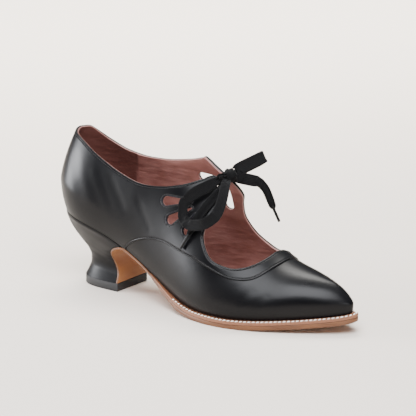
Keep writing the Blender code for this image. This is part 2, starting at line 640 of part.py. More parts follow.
def sole_ring(stations, depth, inset):
    """A ring of the sole's edge at a depth below the feather edge."""
    rows = sole_rows(stations)
    ring = LAST.feather(stations, rows["overhang"] * WELT_OVERHANG - inset)
    ring[:, 2] = LAST.row(stations)[:, 2] - depth
    return ring


def build_welt():
    """The stitched welt between upper and outsole, thinned away at the waist."""
    stations = np.arange(WELT_STATION, AROUND - WELT_STATION + EDGE_STEP / 2, EDGE_STEP)
    thickness = sole_rows(stations)["welt"] * WELT_THICKNESS
    top = sole_ring(stations, CLEARANCE, 0.0)
    bottom = sole_ring(stations, CLEARANCE + thickness, 0.0)
    return stack("welt", [bottom, top], "welt_leather")


def heel_unit(seat):
    """The heel's outline from breast to breast, in shares back from the breast and across."""
    stations = np.arange(LIP_STATION, -LIP_STATION - EDGE_STEP / 4, -2 * LIP_STATION / 26)
    seat_line = LAST.feather(stations, np.zeros(len(stations)))
    front, back = seat_line[0, 0], seat_line[len(seat_line) // 2, 0]
    half = -seat_line[0, 1]
    seat_unit = np.stack([(front - seat_line[:, 0]) / (front - back), seat_line[:, 1] / half], 1)
    turn = np.linspace(0.0, math.pi, len(stations))
    power = 2.0 / HEEL_SQUARENESS
    across = -np.sign(np.cos(turn)) * np.abs(np.cos(turn)) ** power
    plain_unit = np.stack([np.sin(turn) ** power, across], 1)
    return (1.0 - seat) * plain_unit + seat * seat_unit, seat_line


def heel_ring(height):
    """A ring of the heel at a share of its height, and the row that it is made from."""
    row = read_rows(HEEL_ROWS, HEEL_COLUMNS, height, "height")
    unit, seat_line = heel_unit(row["seat"])
    breast, back = row["breast"] * SHOE_LENGTH, row["back"] * SHOE_LENGTH
    base = TOP_PIECE_HEIGHT + CLEARANCE
    seat_height = seat_line[:, 2] - CLEARANCE
    ring = np.stack([breast - unit[:, 0] * (breast - back),
                     unit[:, 1] * row["half_width"] * TREAD_WIDTH,
                     base + height * (seat_height - base)], 1)
    return ring


def heel_heights():
    """The heel's levels, one for each row of its table."""
    return [row[0] for row in HEEL_ROWS.values()]


def build_heel():
    """The covered heel, from the top piece through its waist to the cupped seat."""
    return stack("heel", [heel_ring(height) for height in heel_heights()], "black_leather")


def build_top_piece():
    """The wearing piece under the heel, as wide as it and the breast leather."""
    ring = heel_ring(0.0)
    forward = CLEARANCE + BREAST_LEATHER
    front = ring[0, 0]
    back = ring[len(ring) // 2, 0]
    ring[:, 0] += forward * (ring[:, 0] - back) / (front - back)
    rings = []
    for height, inset in ((0.0, SOLE_EDGE_ROUND), (SOLE_EDGE_ROUND, 0.0), (TOP_PIECE_HEIGHT, 0.0)):
        level = ring.copy()
        shrink = 1.0 - inset / abs(ring[0, 1])
        middle = 0.5 * (front + back)
        level[:, 0] = middle + (level[:, 0] - middle) * shrink
        level[:, 1] *= shrink
        level[:, 2] = height
        rings.append(level)
    return stack("top_piece", rings, "top_piece_rubber")


def build_outsole():
    """The outsole, from the toe back along the waist and down the breast of the heel."""
    corners = np.array([heel_ring(height)[[0, -1]] for height in heel_heights()[:-1]])
    path = corners[:, 0][:, [0, 2]]
    run = np.gradient(path, axis=0)
    run /= np.linalg.norm(run, axis=1)[:, None]
    ahead = np.stack([run[:, 1], np.zeros(len(run)), -run[:, 0]], 1)
    ahead[0] = (1.0, 0.0, 0.0)
    first = LIP_STATION + LIP_GAP
    spans = 2 * round((AROUND - 2 * first) / EDGE_STEP)
    stations = np.linspace(first, AROUND - first, spans + 1)
    rows = sole_rows(stations)
    under_welt = rows["welt"] * WELT_THICKNESS + rows["gap"] * CLEARANCE
    thickness = rows["sole"] * OUTSOLE_THICKNESS
    depths = (CLEARANCE + under_welt + thickness, CLEARANCE + under_welt + thickness
              - SOLE_EDGE_ROUND, CLEARANCE + under_welt)
    rings = []
    for depth, inset, lift in zip(depths, (SOLE_EDGE_ROUND, 0.0, 0.0),
                                  (BREAST_LEATHER, BREAST_LEATHER - SOLE_EDGE_ROUND, 0.0)):
        plate = sole_ring(stations, depth, inset)
        plate[:, 2] = np.maximum(plate[:, 2], 0.0)
        flap = corners + ahead[:, None, :] * (CLEARANCE + lift)
        flap[:, 0, 1] += inset
        flap[:, 1, 1] -= inset
        rings.append(np.vstack([flap[:, 0], plate, flap[::-1, 1]]))
    return stack("outsole", rings, "sole_leather")


def ribbon(name, points, widths, thicknesses, facing, colour):
    """A flat band along points, its broad side turned to face a direction."""
    run = np.gradient(points, axis=0)
    run /= np.linalg.norm(run, axis=1)[:, None]
    across = np.cross(run, facing)
    across /= np.linalg.norm(across, axis=1)[:, None]
    out = np.cross(across, run)
    rings = []
    for point, side, front, width, thickness in zip(points, across, out, widths, thicknesses):
        rings.append([point + side * a * width + front * b * thickness
                      for a, b in RIBBON_CORNERS])
    return stack(name, rings, colour)


def build_lace_bar():
    """The lace where it runs up through both eyelets and crosses below the tabs."""
    route = []
    for side, (station, girth) in EYELETS.items():
        levels = np.array(BAR_LEVELS if side == "outer" else BAR_LEVELS[::-1])
        count = len(levels)
        route.append(LAST.place(np.full(count, station), np.full(count, girth), levels))
    points = through(np.vstack(route), RIBBON_SPACING / 2, closed=False)
    widths = np.full(len(points), LACE_GATHERED_WIDTH)
    thicknesses = np.full(len(points), LACE_GATHERED_THICKNESS)
    return ribbon("lace_bar", points, widths, thicknesses, np.array([1.0, 0.0, 0.0]), "lace_cotton")


def build_knot():
    """The knot, with the round of the band that ties it."""
    turns = np.linspace(0.0, 2 * math.pi, 16, endpoint=False)
    rings = []
    for level, size in KNOT_ROWS:
        ring = np.stack([np.cos(turns) * size, np.full(len(turns), level), np.sin(turns) * size], 1)
        rings.append(np.array(KNOT_CENTRE) + ring * KNOT_RADIUS)
    return stack("lace_knot", rings, "lace_cotton")


def build_bow():
    """The bow's loops and ends as flat bands, thicker where they are gathered."""
    facing = np.array(BOW_FACING) / np.linalg.norm(BOW_FACING)
    for name, rows in BOW_ROUTES.items():
        rows = np.array(rows)
        rows[:, 3] *= LACE_WIDTH
        route = through(rows, RIBBON_SPACING, closed=False)
        gathered = np.clip((LACE_WIDTH - route[:, 3]) / (LACE_WIDTH - LACE_GATHERED_WIDTH), 0, 1)
        thicknesses = LACE_THICKNESS + gathered * (LACE_GATHERED_THICKNESS - LACE_THICKNESS)
        ribbon(name, route[:, 0:3], route[:, 3], thicknesses, facing, "lace_cotton")


def build_aglets():
    """The hard tips on the bow's ends, a curve with a round bevel for each."""
    for name, (start, end) in AGLET_ENDS.items():
        curve = bpy.data.curves.new(name, "CURVE")
        curve.dimensions = "3D"
        curve.bevel_depth = AGLET_RADIUS
        curve.bevel_resolution = 2
        curve.render_resolution_u = 0
        curve.use_fill_caps = True
        spline = curve.splines.new("POLY")
        spline.points.add(1)
        for point, place in zip(spline.points, (start, end)):
            point.co = (place[0] - ORIGIN_ALONG, place[1], place[2], 1.0)
        curve.materials.append(plain_material("aglet"))
        part = bpy.data.objects.new(name, curve)
        bpy.data.collections["lace_up_heel"].objects.link(part)


def main():
    """Clear the scene and build every piece."""
    for old in list(bpy.data.objects):
        bpy.data.objects.remove(old, do_unlink=True)
    collection = bpy.data.collections.new("lace_up_heel")
    bpy.context.scene.collection.children.link(collection)
    build_upper()
    build_insole()
    build_welt()
    build_outsole()
    build_heel()
    build_top_piece()
    build_lace_bar()
    build_knot()
    build_bow()
    build_aglets()


main()
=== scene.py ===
"""The dressed model of a black lace up heel, the right shoe of a pair.

Heel to toe is +X, the outer side of the foot is -Y and up is +Z, in metres.  The forms are worked
out from the same table of stations as the solids, only more finely, and each is dressed as the
real piece: calf upper, leather lining, stitched welt, leather sole, covered heel, cotton lace.
"""
from __future__ import annotations

import logging
import math
from collections.abc import Callable
from dataclasses import dataclass
from enum import Enum

import bmesh
import bpy
import numpy as np
from bpy.types import ID, Material, Node, NodeSocket, NodeTree, Object
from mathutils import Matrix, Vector
from mathutils.geometry import delaunay_2d_cdt
from mathutils.kdtree import KDTree

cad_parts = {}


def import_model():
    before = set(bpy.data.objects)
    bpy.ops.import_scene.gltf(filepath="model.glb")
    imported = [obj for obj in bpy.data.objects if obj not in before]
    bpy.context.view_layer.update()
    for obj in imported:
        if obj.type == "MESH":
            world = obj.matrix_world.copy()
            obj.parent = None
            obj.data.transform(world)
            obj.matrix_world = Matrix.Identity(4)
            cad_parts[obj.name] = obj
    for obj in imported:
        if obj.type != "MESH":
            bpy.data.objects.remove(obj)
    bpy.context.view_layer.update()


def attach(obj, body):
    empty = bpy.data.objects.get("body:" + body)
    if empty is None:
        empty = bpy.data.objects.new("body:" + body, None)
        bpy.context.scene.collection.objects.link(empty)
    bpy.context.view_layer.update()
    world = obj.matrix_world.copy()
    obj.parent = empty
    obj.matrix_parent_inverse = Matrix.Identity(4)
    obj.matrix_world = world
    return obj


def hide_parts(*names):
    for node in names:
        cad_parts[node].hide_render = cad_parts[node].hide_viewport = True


Array = np.ndarray
Point = tuple[float, float, float]
LOG = logging.getLogger("lace_up_heel")
BODY = "root"
MM = 0.001
# A distance in millimetres that is far from any petal
FAR_MM = 50.0

# Driving sizes in metres, as in the solids
SHOE_LENGTH = 0.250
TREAD_WIDTH = 0.075
HEEL_LIFT = 0.0536
TOE_SPRING = 0.0086
INSTEP_HEIGHT = 0.0975
UPPER_WALL = 0.0016
LAP_STEP = 0.0008
INSOLE_THICKNESS = 0.0022
WELT_THICKNESS = 0.0020
WELT_OVERHANG = 0.0030
OUTSOLE_THICKNESS = 0.0033
BREAST_LEATHER = 0.0015
TOP_PIECE_HEIGHT = 0.0065
SOLE_EDGE_ROUND = 0.0006
CLEARANCE = 0.0003
PETAL_RADIUS = 0.0035
PETAL_TIP_GAP = 0.0095
PETAL_TIP_RADIUS = 0.0007
EYELET_RADIUS = 0.0026
LACE_WIDTH = 0.0088
LACE_THICKNESS = 0.0013
AGLET_RADIUS = 0.0011
KNOT_RADIUS = 0.0048
FOREFOOT_STACK = OUTSOLE_THICKNESS + WELT_THICKNESS + 2 * CLEARANCE
FULL_WALL = UPPER_WALL + LAP_STEP

# The tables count from the heel's back, and the origin lies below the middle of the top piece
ORIGIN = np.array([0.150 * SHOE_LENGTH, 0.0, 0.0])

# The last, a row for each station from heel to toe.  along and ridge_along are shares of
# SHOE_LENGTH, outer, inner, ridge_side and bulge of TREAD_WIDTH, rise of HEEL_LIFT, spring of
# TOE_SPRING, ridge_height and belly of INSTEP_HEIGHT.  fullness is the power of the section.
LAST_COLUMNS = ("along", "outer", "inner", "rise", "spring", "ridge_along", "ridge_side",
                "ridge_height", "bulge", "belly", "fullness")
LAST_ROWS = {
    "heel_back":   (0.010, 0.000, 0.000, 1.000, 0.000, 0.136, 0.000, 0.928, 0.053, 0.246, 1.45),
    "heel_corner": (0.034, 0.237, 0.233, 0.972, 0.000, 0.144, 0.000, 0.944, 0.053, 0.246, 1.30),
    "heel_side":   (0.108, 0.367, 0.347, 0.897, 0.000, 0.184, 0.000, 0.985, 0.047, 0.226, 1.20),
    "seat_front":  (0.216, 0.363, 0.307, 0.739, 0.000, 0.264, 0.007, 1.041, 0.040, 0.205, 1.30),
    "waist":       (0.328, 0.355, 0.253, 0.481, 0.000, 0.352, 0.020, 1.090, 0.047, 0.185, 1.50),
    "arch":        (0.432, 0.395, 0.273, 0.203, 0.000, 0.440, 0.040, 1.089, 0.053, 0.164, 1.60),
    "instep":      (0.524, 0.473, 0.360, 0.039, 0.000, 0.520, 0.053, 1.000, 0.060, 0.144, 1.60),
    "ball_rear":   (0.612, 0.528, 0.447, 0.000, 0.000, 0.600, 0.060, 0.867, 0.053, 0.123, 1.60),
    "ball":        (0.700, 0.507, 0.480, 0.000, 0.000, 0.680, 0.053, 0.624, 0.040, 0.103, 1.70),
    "vamp":        (0.788, 0.413, 0.433, 0.000, 0.174, 0.760, 0.047, 0.404, 0.027, 0.092, 1.85),
    "toe_side":    (0.872, 0.273, 0.320, 0.000, 0.407, 0.832, 0.040, 0.333, 0.020, 0.082, 2.10),
    "toe":         (0.940, 0.147, 0.207, 0.000, 0.674, 0.892, 0.040, 0.272, 0.013, 0.072, 2.25),
    "toe_corner":  (0.984, 0.033, 0.113, 0.000, 0.872, 0.928, 0.040, 0.226, 0.007, 0.062, 2.25),
    "toe_tip":     (0.998, -0.040, 0.040, 0.000, 1.000, 0.940, 0.040, 0.200, 0.004, 0.062, 2.25),
}
TIP = len(LAST_ROWS) - 1
AROUND = 2 * TIP

# The edge of the collar, tabs and throat: the station counts the rows above from the heel and
# the girth is the share of the way from the feather edge up to the ridge of the instep.
TOP_LINE_OUTER = {
    "heel_back": (0.00, 0.605), "heel_turn": (0.90, 0.600), "heel_side": (1.75, 0.575),
    "ankle_rear": (2.50, 0.520), "ankle_low": (3.30, 0.487), "ankle_front": (4.00, 0.510),
    "quarter_rise": (4.70, 0.595), "tab_root": (5.40, 0.715), "tab_rear": (5.95, 0.840),
    "rear_corner": (6.25, 0.925), "tab_edge": (6.60, 0.950), "front_corner": (6.92, 0.920),
    "tab_neck": (6.88, 0.820), "throat_rear": (6.70, 0.660), "throat_side": (6.66, 0.520),
    "throat_low": (7.05, 0.425), "throat_front": (7.75, 0.440), "throat_turn": (8.30, 0.560),
    "throat_shoulder": (8.68, 0.770), "throat_centre": (8.85, 1.000),
}
TOP_LINE_INNER = {
    "heel_turn": (0.65, 0.606), "heel_corner": (1.10, 0.570), "heel_side": (1.60, 0.523),
    "ankle_rear": (2.20, 0.485), "ankle_low": (2.80, 0.495), "ankle_front": (3.40, 0.545),
    "quarter_rise": (4.10, 0.640), "tab_root": (4.80, 0.765), "tab_rear": (5.25, 0.860),
    "rear_corner": (5.60, 0.940), "tab_edge": (6.25, 0.960), "front_corner": (6.82, 0.955),
    "tab_neck": (6.92, 0.860), "throat_rear": (6.66, 0.700), "throat_side": (6.62, 0.580),
    "throat_low": (6.95, 0.478), "throat_middle": (7.50, 0.440), "throat_front": (8.00, 0.478),
    "throat_turn": (8.42, 0.600), "throat_shoulder": (8.72, 0.785),
}
LAP_LINE = {
    "below_feather": (3.58, -0.04), "waist": (3.64, 0.010), "waist_turn": (3.84, 0.080),
    "arch_rear": (4.12, 0.155), "arch_top": (4.45, 0.222), "arch_front": (4.95, 0.292),
    "side": (5.66, 0.340), "under_tab": (6.35, 0.358), "throat_side": (7.00, 0.350),
    "throat_low": (7.60, 0.350), "throat_front": (8.10, 0.382), "throat_turn": (8.55, 0.465),
    "band_front": (8.95, 0.660), "band_shoulder": (9.22, 0.860), "band_centre": (9.32, 1.000),
}


class Side(Enum):
    """The two sides of the foot."""

    OUTER = "outer"
    INNER = "inner"


# Where each fan of petals opens from, station and girth, and each petal's angle from forward in
# degrees and its reach from there in metres
FANS = {
    Side.OUTER: ((6.33, 0.715), ((188, 0.0335), (216, 0.0325), (252, 0.0265))),
    Side.INNER: ((-6.35, 0.885), ((190, 0.0293), (223, 0.0290), (258, 0.0290))),
}
EYELETS = {Side.OUTER: (6.58, 0.905), Side.INNER: (-6.45, 0.905)}

# Soft troughs and ridges that lasting and handling leave in the leather: where each starts and
# ends, station and girth, how far its sides reach and how high it stands, in metres
CREASES = (
    ((1.60, 0.44), (2.30, 0.20), 0.0085, -0.00030),
    ((2.55, 0.40), (3.05, 0.24), 0.0060, 0.00018),
    ((3.10, 0.42), (3.60, 0.30), 0.0055, -0.00022),
    ((4.10, 0.40), (4.60, 0.30), 0.0050, -0.00018),
    ((-2.40, 0.42), (-2.90, 0.22), 0.0070, -0.00028),
    ((-3.40, 0.44), (-3.90, 0.30), 0.0055, -0.00022),
    ((8.30, 0.20), (8.60, 0.34), 0.0050, -0.00022),
    ((8.75, 0.18), (9.05, 0.32), 0.0045, -0.00018),
    ((-8.30, 0.20), (-8.60, 0.34), 0.0050, -0.00022),
)
# How near an edge or a seam the creases die away
CREASE_MARGIN = 0.0028

# The sole's edge, a row for each place on it.  overhang is a share of WELT_OVERHANG, welt of
# WELT_THICKNESS and sole of OUTSOLE_THICKNESS; gap is 1 where the welt lies on the outsole.
SOLE_COLUMNS = ("station", "overhang", "welt", "gap", "sole")
SOLE_ROWS = {
    "breast_lip": (3.40, -0.20, 0.0, 0.0, 0.66),
    "waist":      (4.25, -0.10, 0.0, 0.0, 0.66),
    "arch":       (4.50, 0.00, 0.10, 1.0, 0.70),
    "welt_start": (5.00, 0.40, 0.55, 1.0, 0.85),
    "welt_full":  (5.75, 0.95, 1.00, 1.0, 1.00),
    "ball":       (8.00, 1.00, 1.00, 1.0, 1.00),
    "toe_tip":    (13.00, 1.00, 1.00, 1.0, 1.00),
}
LIP_STATION = 3.45
WELT_STATION = 4.50

# The heel, a row for each level.  height is the share of the way up to the seat, back and breast
# are shares of SHOE_LENGTH, half_width of TREAD_WIDTH and seat is how far the level has the
# outline of the seat and not that of the top piece.
HEEL_COLUMNS = ("height", "back", "breast", "half_width", "seat")
HEEL_ROWS = {
    "top_piece":   (0.000, 0.0710, 0.2220, 0.245, 0.00),
    "flare":       (0.100, 0.0820, 0.2195, 0.216, 0.00),
    "lower_waist": (0.200, 0.0888, 0.2160, 0.192, 0.00),
    "waist":       (0.300, 0.0884, 0.2120, 0.184, 0.05),
    "upper_waist": (0.420, 0.0764, 0.2080, 0.191, 0.12),
    "cup":         (0.580, 0.0476, 0.2040, 0.224, 0.30),
    "cup_upper":   (0.720, 0.0276, 0.2090, 0.267, 0.50),
    "fillet":      (0.840, 0.0170, 0.2230, 0.307, 0.70),
    "fillet_top":  (0.930, 0.0120, 0.2430, 0.337, 0.90),
    "lip":         (0.972, 0.0104, 0.2630, 0.354, 1.00),
    "seat":        (1.000, 0.0100, 0.2650, 0.356, 1.00),
}
HEEL_SQUARENESS = 3.0

# The lace's run through the eyelets, how far off the last, and the knot's middle
BAR_LEVELS = (0.0018, 0.0006, -0.0012, -0.0042, -0.0066)
KNOT_CENTRE = (0.1459, 0.0019, 0.0983)
# The bow's routes from the knot, along, across and up in millimetres from the heel on the floor,
# and how broad the band shows there as a share of LACE_WIDTH, less where gathered or turned
BOW_FACING = (0.54, -0.80, 0.26)
LOOP_LEFT = (
    (147.9, -5.2, 97.0, 0.62), (151.2, -12.8, 93.1, 0.80), (153.4, -19.3, 85.8, 0.84),
    (154.1, -25.0, 79.0, 0.86), (152.5, -30.5, 74.3, 0.90), (147.3, -34.2, 70.6, 0.92),
    (139.0, -34.8, 68.8, 0.90), (132.6, -34.0, 70.3, 0.82), (128.6, -32.4, 74.1, 0.78),
    (127.5, -30.6, 79.0, 0.78), (129.0, -27.7, 84.3, 0.86), (133.6, -23.6, 89.5, 0.98),
    (139.4, -17.3, 93.8, 0.90), (143.2, -9.4, 97.3, 0.60), (145.2, -4.2, 100.0, 0.36))
END_LEFT = (
    (145.6, -4.0, 94.1, 0.32), (145.5, -10.7, 90.7, 0.50), (144.0, -17.2, 85.2, 0.70),
    (141.5, -22.2, 80.0, 0.74), (138.3, -27.5, 72.8, 0.72), (136.4, -31.1, 65.9, 0.60),
    (133.9, -33.9, 59.5, 0.34))
LOOP_RIGHT = (
    (148.7, 5.8, 102.0, 0.86), (150.8, 13.0, 104.5, 1.00), (153.2, 21.0, 106.5, 1.00),
    (155.2, 27.5, 108.2, 1.00), (156.0, 30.0, 108.8, 1.00), (155.3, 32.2, 108.3, 1.00),
    (154.0, 32.8, 107.5, 1.00), (152.6, 30.8, 106.1, 1.00), (150.6, 25.2, 104.4, 1.00),
    (148.7, 17.2, 102.4, 0.96), (146.9, 7.6, 99.3, 0.66))
END_RIGHT = (
    (150.0, 5.4, 97.3, 0.86), (152.9, 9.4, 95.9, 0.98), (155.5, 13.5, 94.5, 0.98),
    (158.7, 17.5, 93.1, 0.86), (161.2, 20.6, 90.2, 0.74), (163.3, 23.2, 85.5, 0.68),
    (164.8, 25.0, 80.0, 0.66), (166.0, 26.2, 75.5, 0.62), (166.8, 26.9, 72.2, 0.40))
# Inside the knot, where each band turns from its loop to its end
LINK_LEFT = ((145.2, 0.6, 99.2, 0.36), (145.8, 0.4, 96.2, 0.34))
LINK_RIGHT = ((146.2, 3.0, 98.4, 0.55), (147.8, 2.4, 97.2, 0.62))
# The two ends of each hard tip, in millimetres in the same way
TIP_LEFT = ((133.7, -34.2, 59.0), (129.5, -36.6, 50.5))
TIP_RIGHT = ((167.1, 27.1, 71.8), (170.8, 29.2, 62.2))

# The steepest that the ridge may fall toward the toe, as a slope
STEEPEST_RIDGE = 1.25

# How finely the pieces are made
LINES_PER_STATION = 16
GIRTH_SAMPLES = 97
SECTION_SAMPLES = 144
OUTLINE_SPACING = 0.0008
GRID_LINES = 12
GRID_GIRTHS = 44
GRID_MARGIN = 0.0008
PETAL_ROUND_STEPS = 25
PETAL_TIP_STEPS = 7
EYELET_STEPS = 28
# From which station and girth the toe's crest is rounded, over how much of each the rounding
# comes in, and how many rounds of smoothing it gets
TOE_SOFT_FROM = 8.2
TOE_SOFT_SPAN = 2.0
TOE_SOFT_GIRTH = 0.30
TOE_SOFT_GIRTH_SPAN = 0.4
TOE_SOFT_ROUNDS = 420
# The places that a fold of the flat pattern is looked for from, and the girth past which a
# place lies on the ridge
FOLD_GIRTHS = 25
FOLD_TOP = 0.98
ON_RIDGE = 0.9995
# How far to either side, in stations, the slope of the ridge and the run of the edge are taken
SLOPE_STEP = 0.05
EDGE_STEP = 0.02
# The search for a place on the last: its rounds, its first step and the most it moves in a round
SEARCH_ROUNDS = 14
SEARCH_STEP = 1e-3
MOST_STATION_MOVE = 0.5
MOST_GIRTH_MOVE = 0.1
# Points nearer than this are joined, slivers thinner than this go, and corners sharper than this
# angle in degrees stay sharp
JOIN_WITHIN = 5e-6
SLIVER = 2e-6
SHARP_ANGLE = 50.0


def unit(vectors: Array) -> Array:
    """Vectors brought to a length of one."""
    return vectors / np.linalg.norm(vectors, axis=-1, keepdims=True)


def travelled(points: Array) -> Array:
    """How far each point of a line lies along it."""
    steps = np.linalg.norm(np.diff(points, axis=0), axis=1)
    return np.concatenate([[0.0], np.cumsum(steps)])


def smooth_bend(values: Array) -> Array:
    """Second derivatives of the closed cubic spline through evenly numbered rows of values.

    Args:
        values: a row of values for each knot.

    Returns:
        The second derivatives at the knots.
    """
    count = len(values)
    system = 4.0 * np.eye(count) + np.eye(count, k=1) + np.eye(count, k=-1)
    system[0, -1] = system[-1, 0] = 1.0
    right = 6.0 * (np.roll(values, -1, 0) - 2 * values + np.roll(values, 1, 0))
    return np.linalg.solve(system, right)


class Last:
    """The form that the shoe is made on: places on it are a station and a share of the girth."""

    def __init__(self) -> None:
        outer, inner = [], []
        for values in LAST_ROWS.values():
            row = dict(zip(LAST_COLUMNS, values))
            bottom = FOREFOOT_STACK + row["rise"] * HEEL_LIFT + row["spring"] * TOE_SPRING
            ridge = (row["ridge_along"] * SHOE_LENGTH, row["ridge_side"] * TREAD_WIDTH,
                     bottom + row["ridge_height"] * INSTEP_HEIGHT)
            form = (row["bulge"] * TREAD_WIDTH, row["belly"] * INSTEP_HEIGHT, row["fullness"])
            along = row["along"] * SHOE_LENGTH
            outer.append((along, -row["outer"] * TREAD_WIDTH, bottom, *ridge, *form))
            inner.append((along, row["inner"] * TREAD_WIDTH, bottom, *ridge, *form))
        self.rows = np.array(outer + inner[-2:0:-1])
        self.bend = smooth_bend(self.rows)
        self.lines = np.arange(AROUND * LINES_PER_STATION) / LINES_PER_STATION
        shares = np.linspace(0.0, 1.0, GIRTH_SAMPLES)
        grid, girths = [], []
        for station in self.lines:
            line = self.section(station)
            reached = travelled(line)
            girths.append(reached[-1])
            wanted = shares * reached[-1]
            grid.append(np.stack([np.interp(wanted, reached, line[:, k]) for k in range(3)], 1))
        self.grid = np.array(grid)
        self.soften_toe()
        rows = self.row(self.lines)
        self.ridge = rows[:, 3:5]
        self.spokes = unit(rows[:, 0:2] - self.ridge) * np.array(girths)[:, None]
        forward = np.roll(self.grid, -1, 0) - np.roll(self.grid, 1, 0)
        upward = np.gradient(self.grid, axis=1)
        normals = np.cross(forward, upward)
        mirrored = (-np.arange(len(self.lines))) % len(self.lines)
        normals[:, -1] = normals[:, -3] + normals[mirrored, -3]
        self.normals = unit(normals)
        self.known = None

    def soften_toe(self) -> None:
        """Round the crest of the toe, where the lines of both sides meet on the ridge."""
        lines = len(self.lines)
        mirrored = (-np.arange(lines)) % lines
        side = np.minimum(self.lines, AROUND - self.lines)
        girths = np.linspace(0.0, 1.0, GIRTH_SAMPLES)
        near_toe = np.clip((side - TOE_SOFT_FROM) / TOE_SOFT_SPAN, 0.0, 1.0)
        near_ridge = np.clip((girths - TOE_SOFT_GIRTH) / TOE_SOFT_GIRTH_SPAN, 0.0, 1.0)
        share = 0.5 * (near_toe[:, None] * near_ridge[None, :])[:, :, None]
        for _ in range(TOE_SOFT_ROUNDS):
            above = np.concatenate([self.grid[:, 1:], self.grid[mirrored, -2:-1]], axis=1)
            below = np.concatenate([self.grid[:, :1], self.grid[:, :-1]], axis=1)
            beside = np.roll(self.grid, 1, 0) + np.roll(self.grid, -1, 0)
            self.grid += share * (0.25 * (above + below + beside) - self.grid)
            self.grid[:, -1] = 0.5 * (self.grid[:, -1] + self.grid[mirrored, -1])

    def row(self, station: Array) -> Array:
        """The table's values at stations, positive on the outer side and negative inside."""
        place = np.asarray(station, float) % AROUND
        first = np.floor(place).astype(int) % AROUND
        second = (first + 1) % AROUND
        share = (place - np.floor(place))[..., None]
        rest = 1.0 - share
        straight = rest * self.rows[first] + share * self.rows[second]
        curved = (rest ** 3 - rest) * self.bend[first] + (share ** 3 - share) * self.bend[second]
        return straight + curved / 6.0

    def section(self, station: float) -> Array:
        """One line over the last, from the feather edge out over the belly and up to the ridge."""
        x, y, bottom, ridge_x, ridge_y, ridge_z, bulge, belly, fullness = self.row(station)
        before, after = self.row(station - SLOPE_STEP), self.row(station + SLOPE_STEP)
        run = after[3] - before[3]
        if abs(run) < 1e-6:
            slope = (ridge_z - before[5]) / (ridge_x - before[3])
        else:
            slope = (after[5] - before[5]) / run
        slope = min(0.0, max(-STEEPEST_RIDGE, slope))
        reach = math.hypot(x - ridge_x, y - ridge_y)
        away = np.array([x - ridge_x, y - ridge_y]) / reach
        low = np.linspace(0.0, 1.0, SECTION_SAMPLES // 4, endpoint=False)
        turn = np.linspace(0.0, math.pi / 2, SECTION_SAMPLES * 3 // 4)
        power = 2.0 / fullness
        out_low = reach + bulge * (1.0 - (1.0 - low) ** 2)
        out_high = (reach + bulge) * np.maximum(np.cos(turn), 0.0) ** power
        out_high[-1] = 0.0
        climb = np.sin(turn) ** power
        plane = ridge_z + slope * away[0] * out_high
        high = bottom + belly + (plane - bottom - belly) * climb
        outs = np.concatenate([out_low, out_high])
        heights = np.concatenate([bottom + belly * low, high])
        return np.stack([ridge_x + away[0] * outs, ridge_y + away[1] * outs, heights], 1)

    def sample(self, values: Array, station: Array, girth: Array) -> Array:
        """Read values kept on the fine grid between its lines.

        Args:
            values: the values, by line and by girth.
            station: the stations to read at.
            girth: the girths to read at.

        Returns:
            The values there.
        """
        place = (np.asarray(station, float) % AROUND) * LINES_PER_STATION
        level = np.clip(girth, 0.0, 1.0) * (GIRTH_SAMPLES - 1)
        i = np.floor(place).astype(int) % len(self.lines)
        j = np.minimum(np.floor(level).astype(int), GIRTH_SAMPLES - 2)
        k = (i + 1) % len(self.lines)
        u = (place - np.floor(place))[..., None]
        v = (level - j)[..., None]
        near = values[i, j] * (1 - v) + values[i, j + 1] * v
        far = values[k, j] * (1 - v) + values[k, j + 1] * v
        return near * (1 - u) + far * u

    def normal(self, station: Array, girth: Array) -> Array:
        """The way out of the last at places on it."""
        return unit(self.sample(self.normals, station, girth))

    def place(self, station: Array, girth: Array, lift: float = 0.0) -> Array:
        """Points on the last, lifted off it along its normal."""
        point = self.sample(self.grid, station, girth)
        return point + self.normal(station, girth) * np.asarray(lift, float)[..., None]

    def flat(self, station: Array, girth: Array) -> Array:
        """Where a place lies in the flat pattern, each girth line unrolled out from the ridge."""
        place = (np.asarray(station, float) % AROUND) * LINES_PER_STATION
        i = np.floor(place).astype(int) % len(self.lines)
        k = (i + 1) % len(self.lines)
        u = (place - np.floor(place))[..., None]
        ridge = self.ridge[i] * (1 - u) + self.ridge[k] * u
        spoke = self.spokes[i] * (1 - u) + self.spokes[k] * u
        return ridge + spoke * (1.0 - np.asarray(girth, float))[..., None]

    def solve(self, target: Callable[[Array, Array], Array], wanted: Array, station: Array,
              girth: Array) -> tuple[Array, Array]:
        """Move places until what they lead to is nearest to what is wanted.

        Args:
            target: gives the points, in space or flat, that stations and girths lead to.
            wanted: the points wanted.
            station: the stations to start from.
            girth: the girths to start from.

        Returns:
            The stations and the girths.
        """
        step = SEARCH_STEP
        for _ in range(SEARCH_ROUNDS):
            here = target(station, girth)
            along = (target(station + step, girth) - target(station - step, girth)) / (2 * step)
            up_girth, down_girth = np.minimum(girth + step, 1.0), girth - step
            up = target(station, up_girth) - target(station, down_girth)
            up = up / (up_girth - down_girth)[..., None]
            miss = wanted - here
            aa, bb = (along * along).sum(-1), (up * up).sum(-1)
            ab = (along * up).sum(-1)
            ra, rb = (along * miss).sum(-1), (up * miss).sum(-1)
            scale = aa * bb - ab * ab + 1e-12 * (aa + bb) + 1e-30
            forward, rise = (ra * bb - rb * ab) / scale, (rb * aa - ra * ab) / scale
            station = station + np.clip(forward, -MOST_STATION_MOVE, MOST_STATION_MOVE)
            girth = np.minimum(girth + np.clip(rise, -MOST_GIRTH_MOVE, MOST_GIRTH_MOVE), 1.0)
        return station, girth

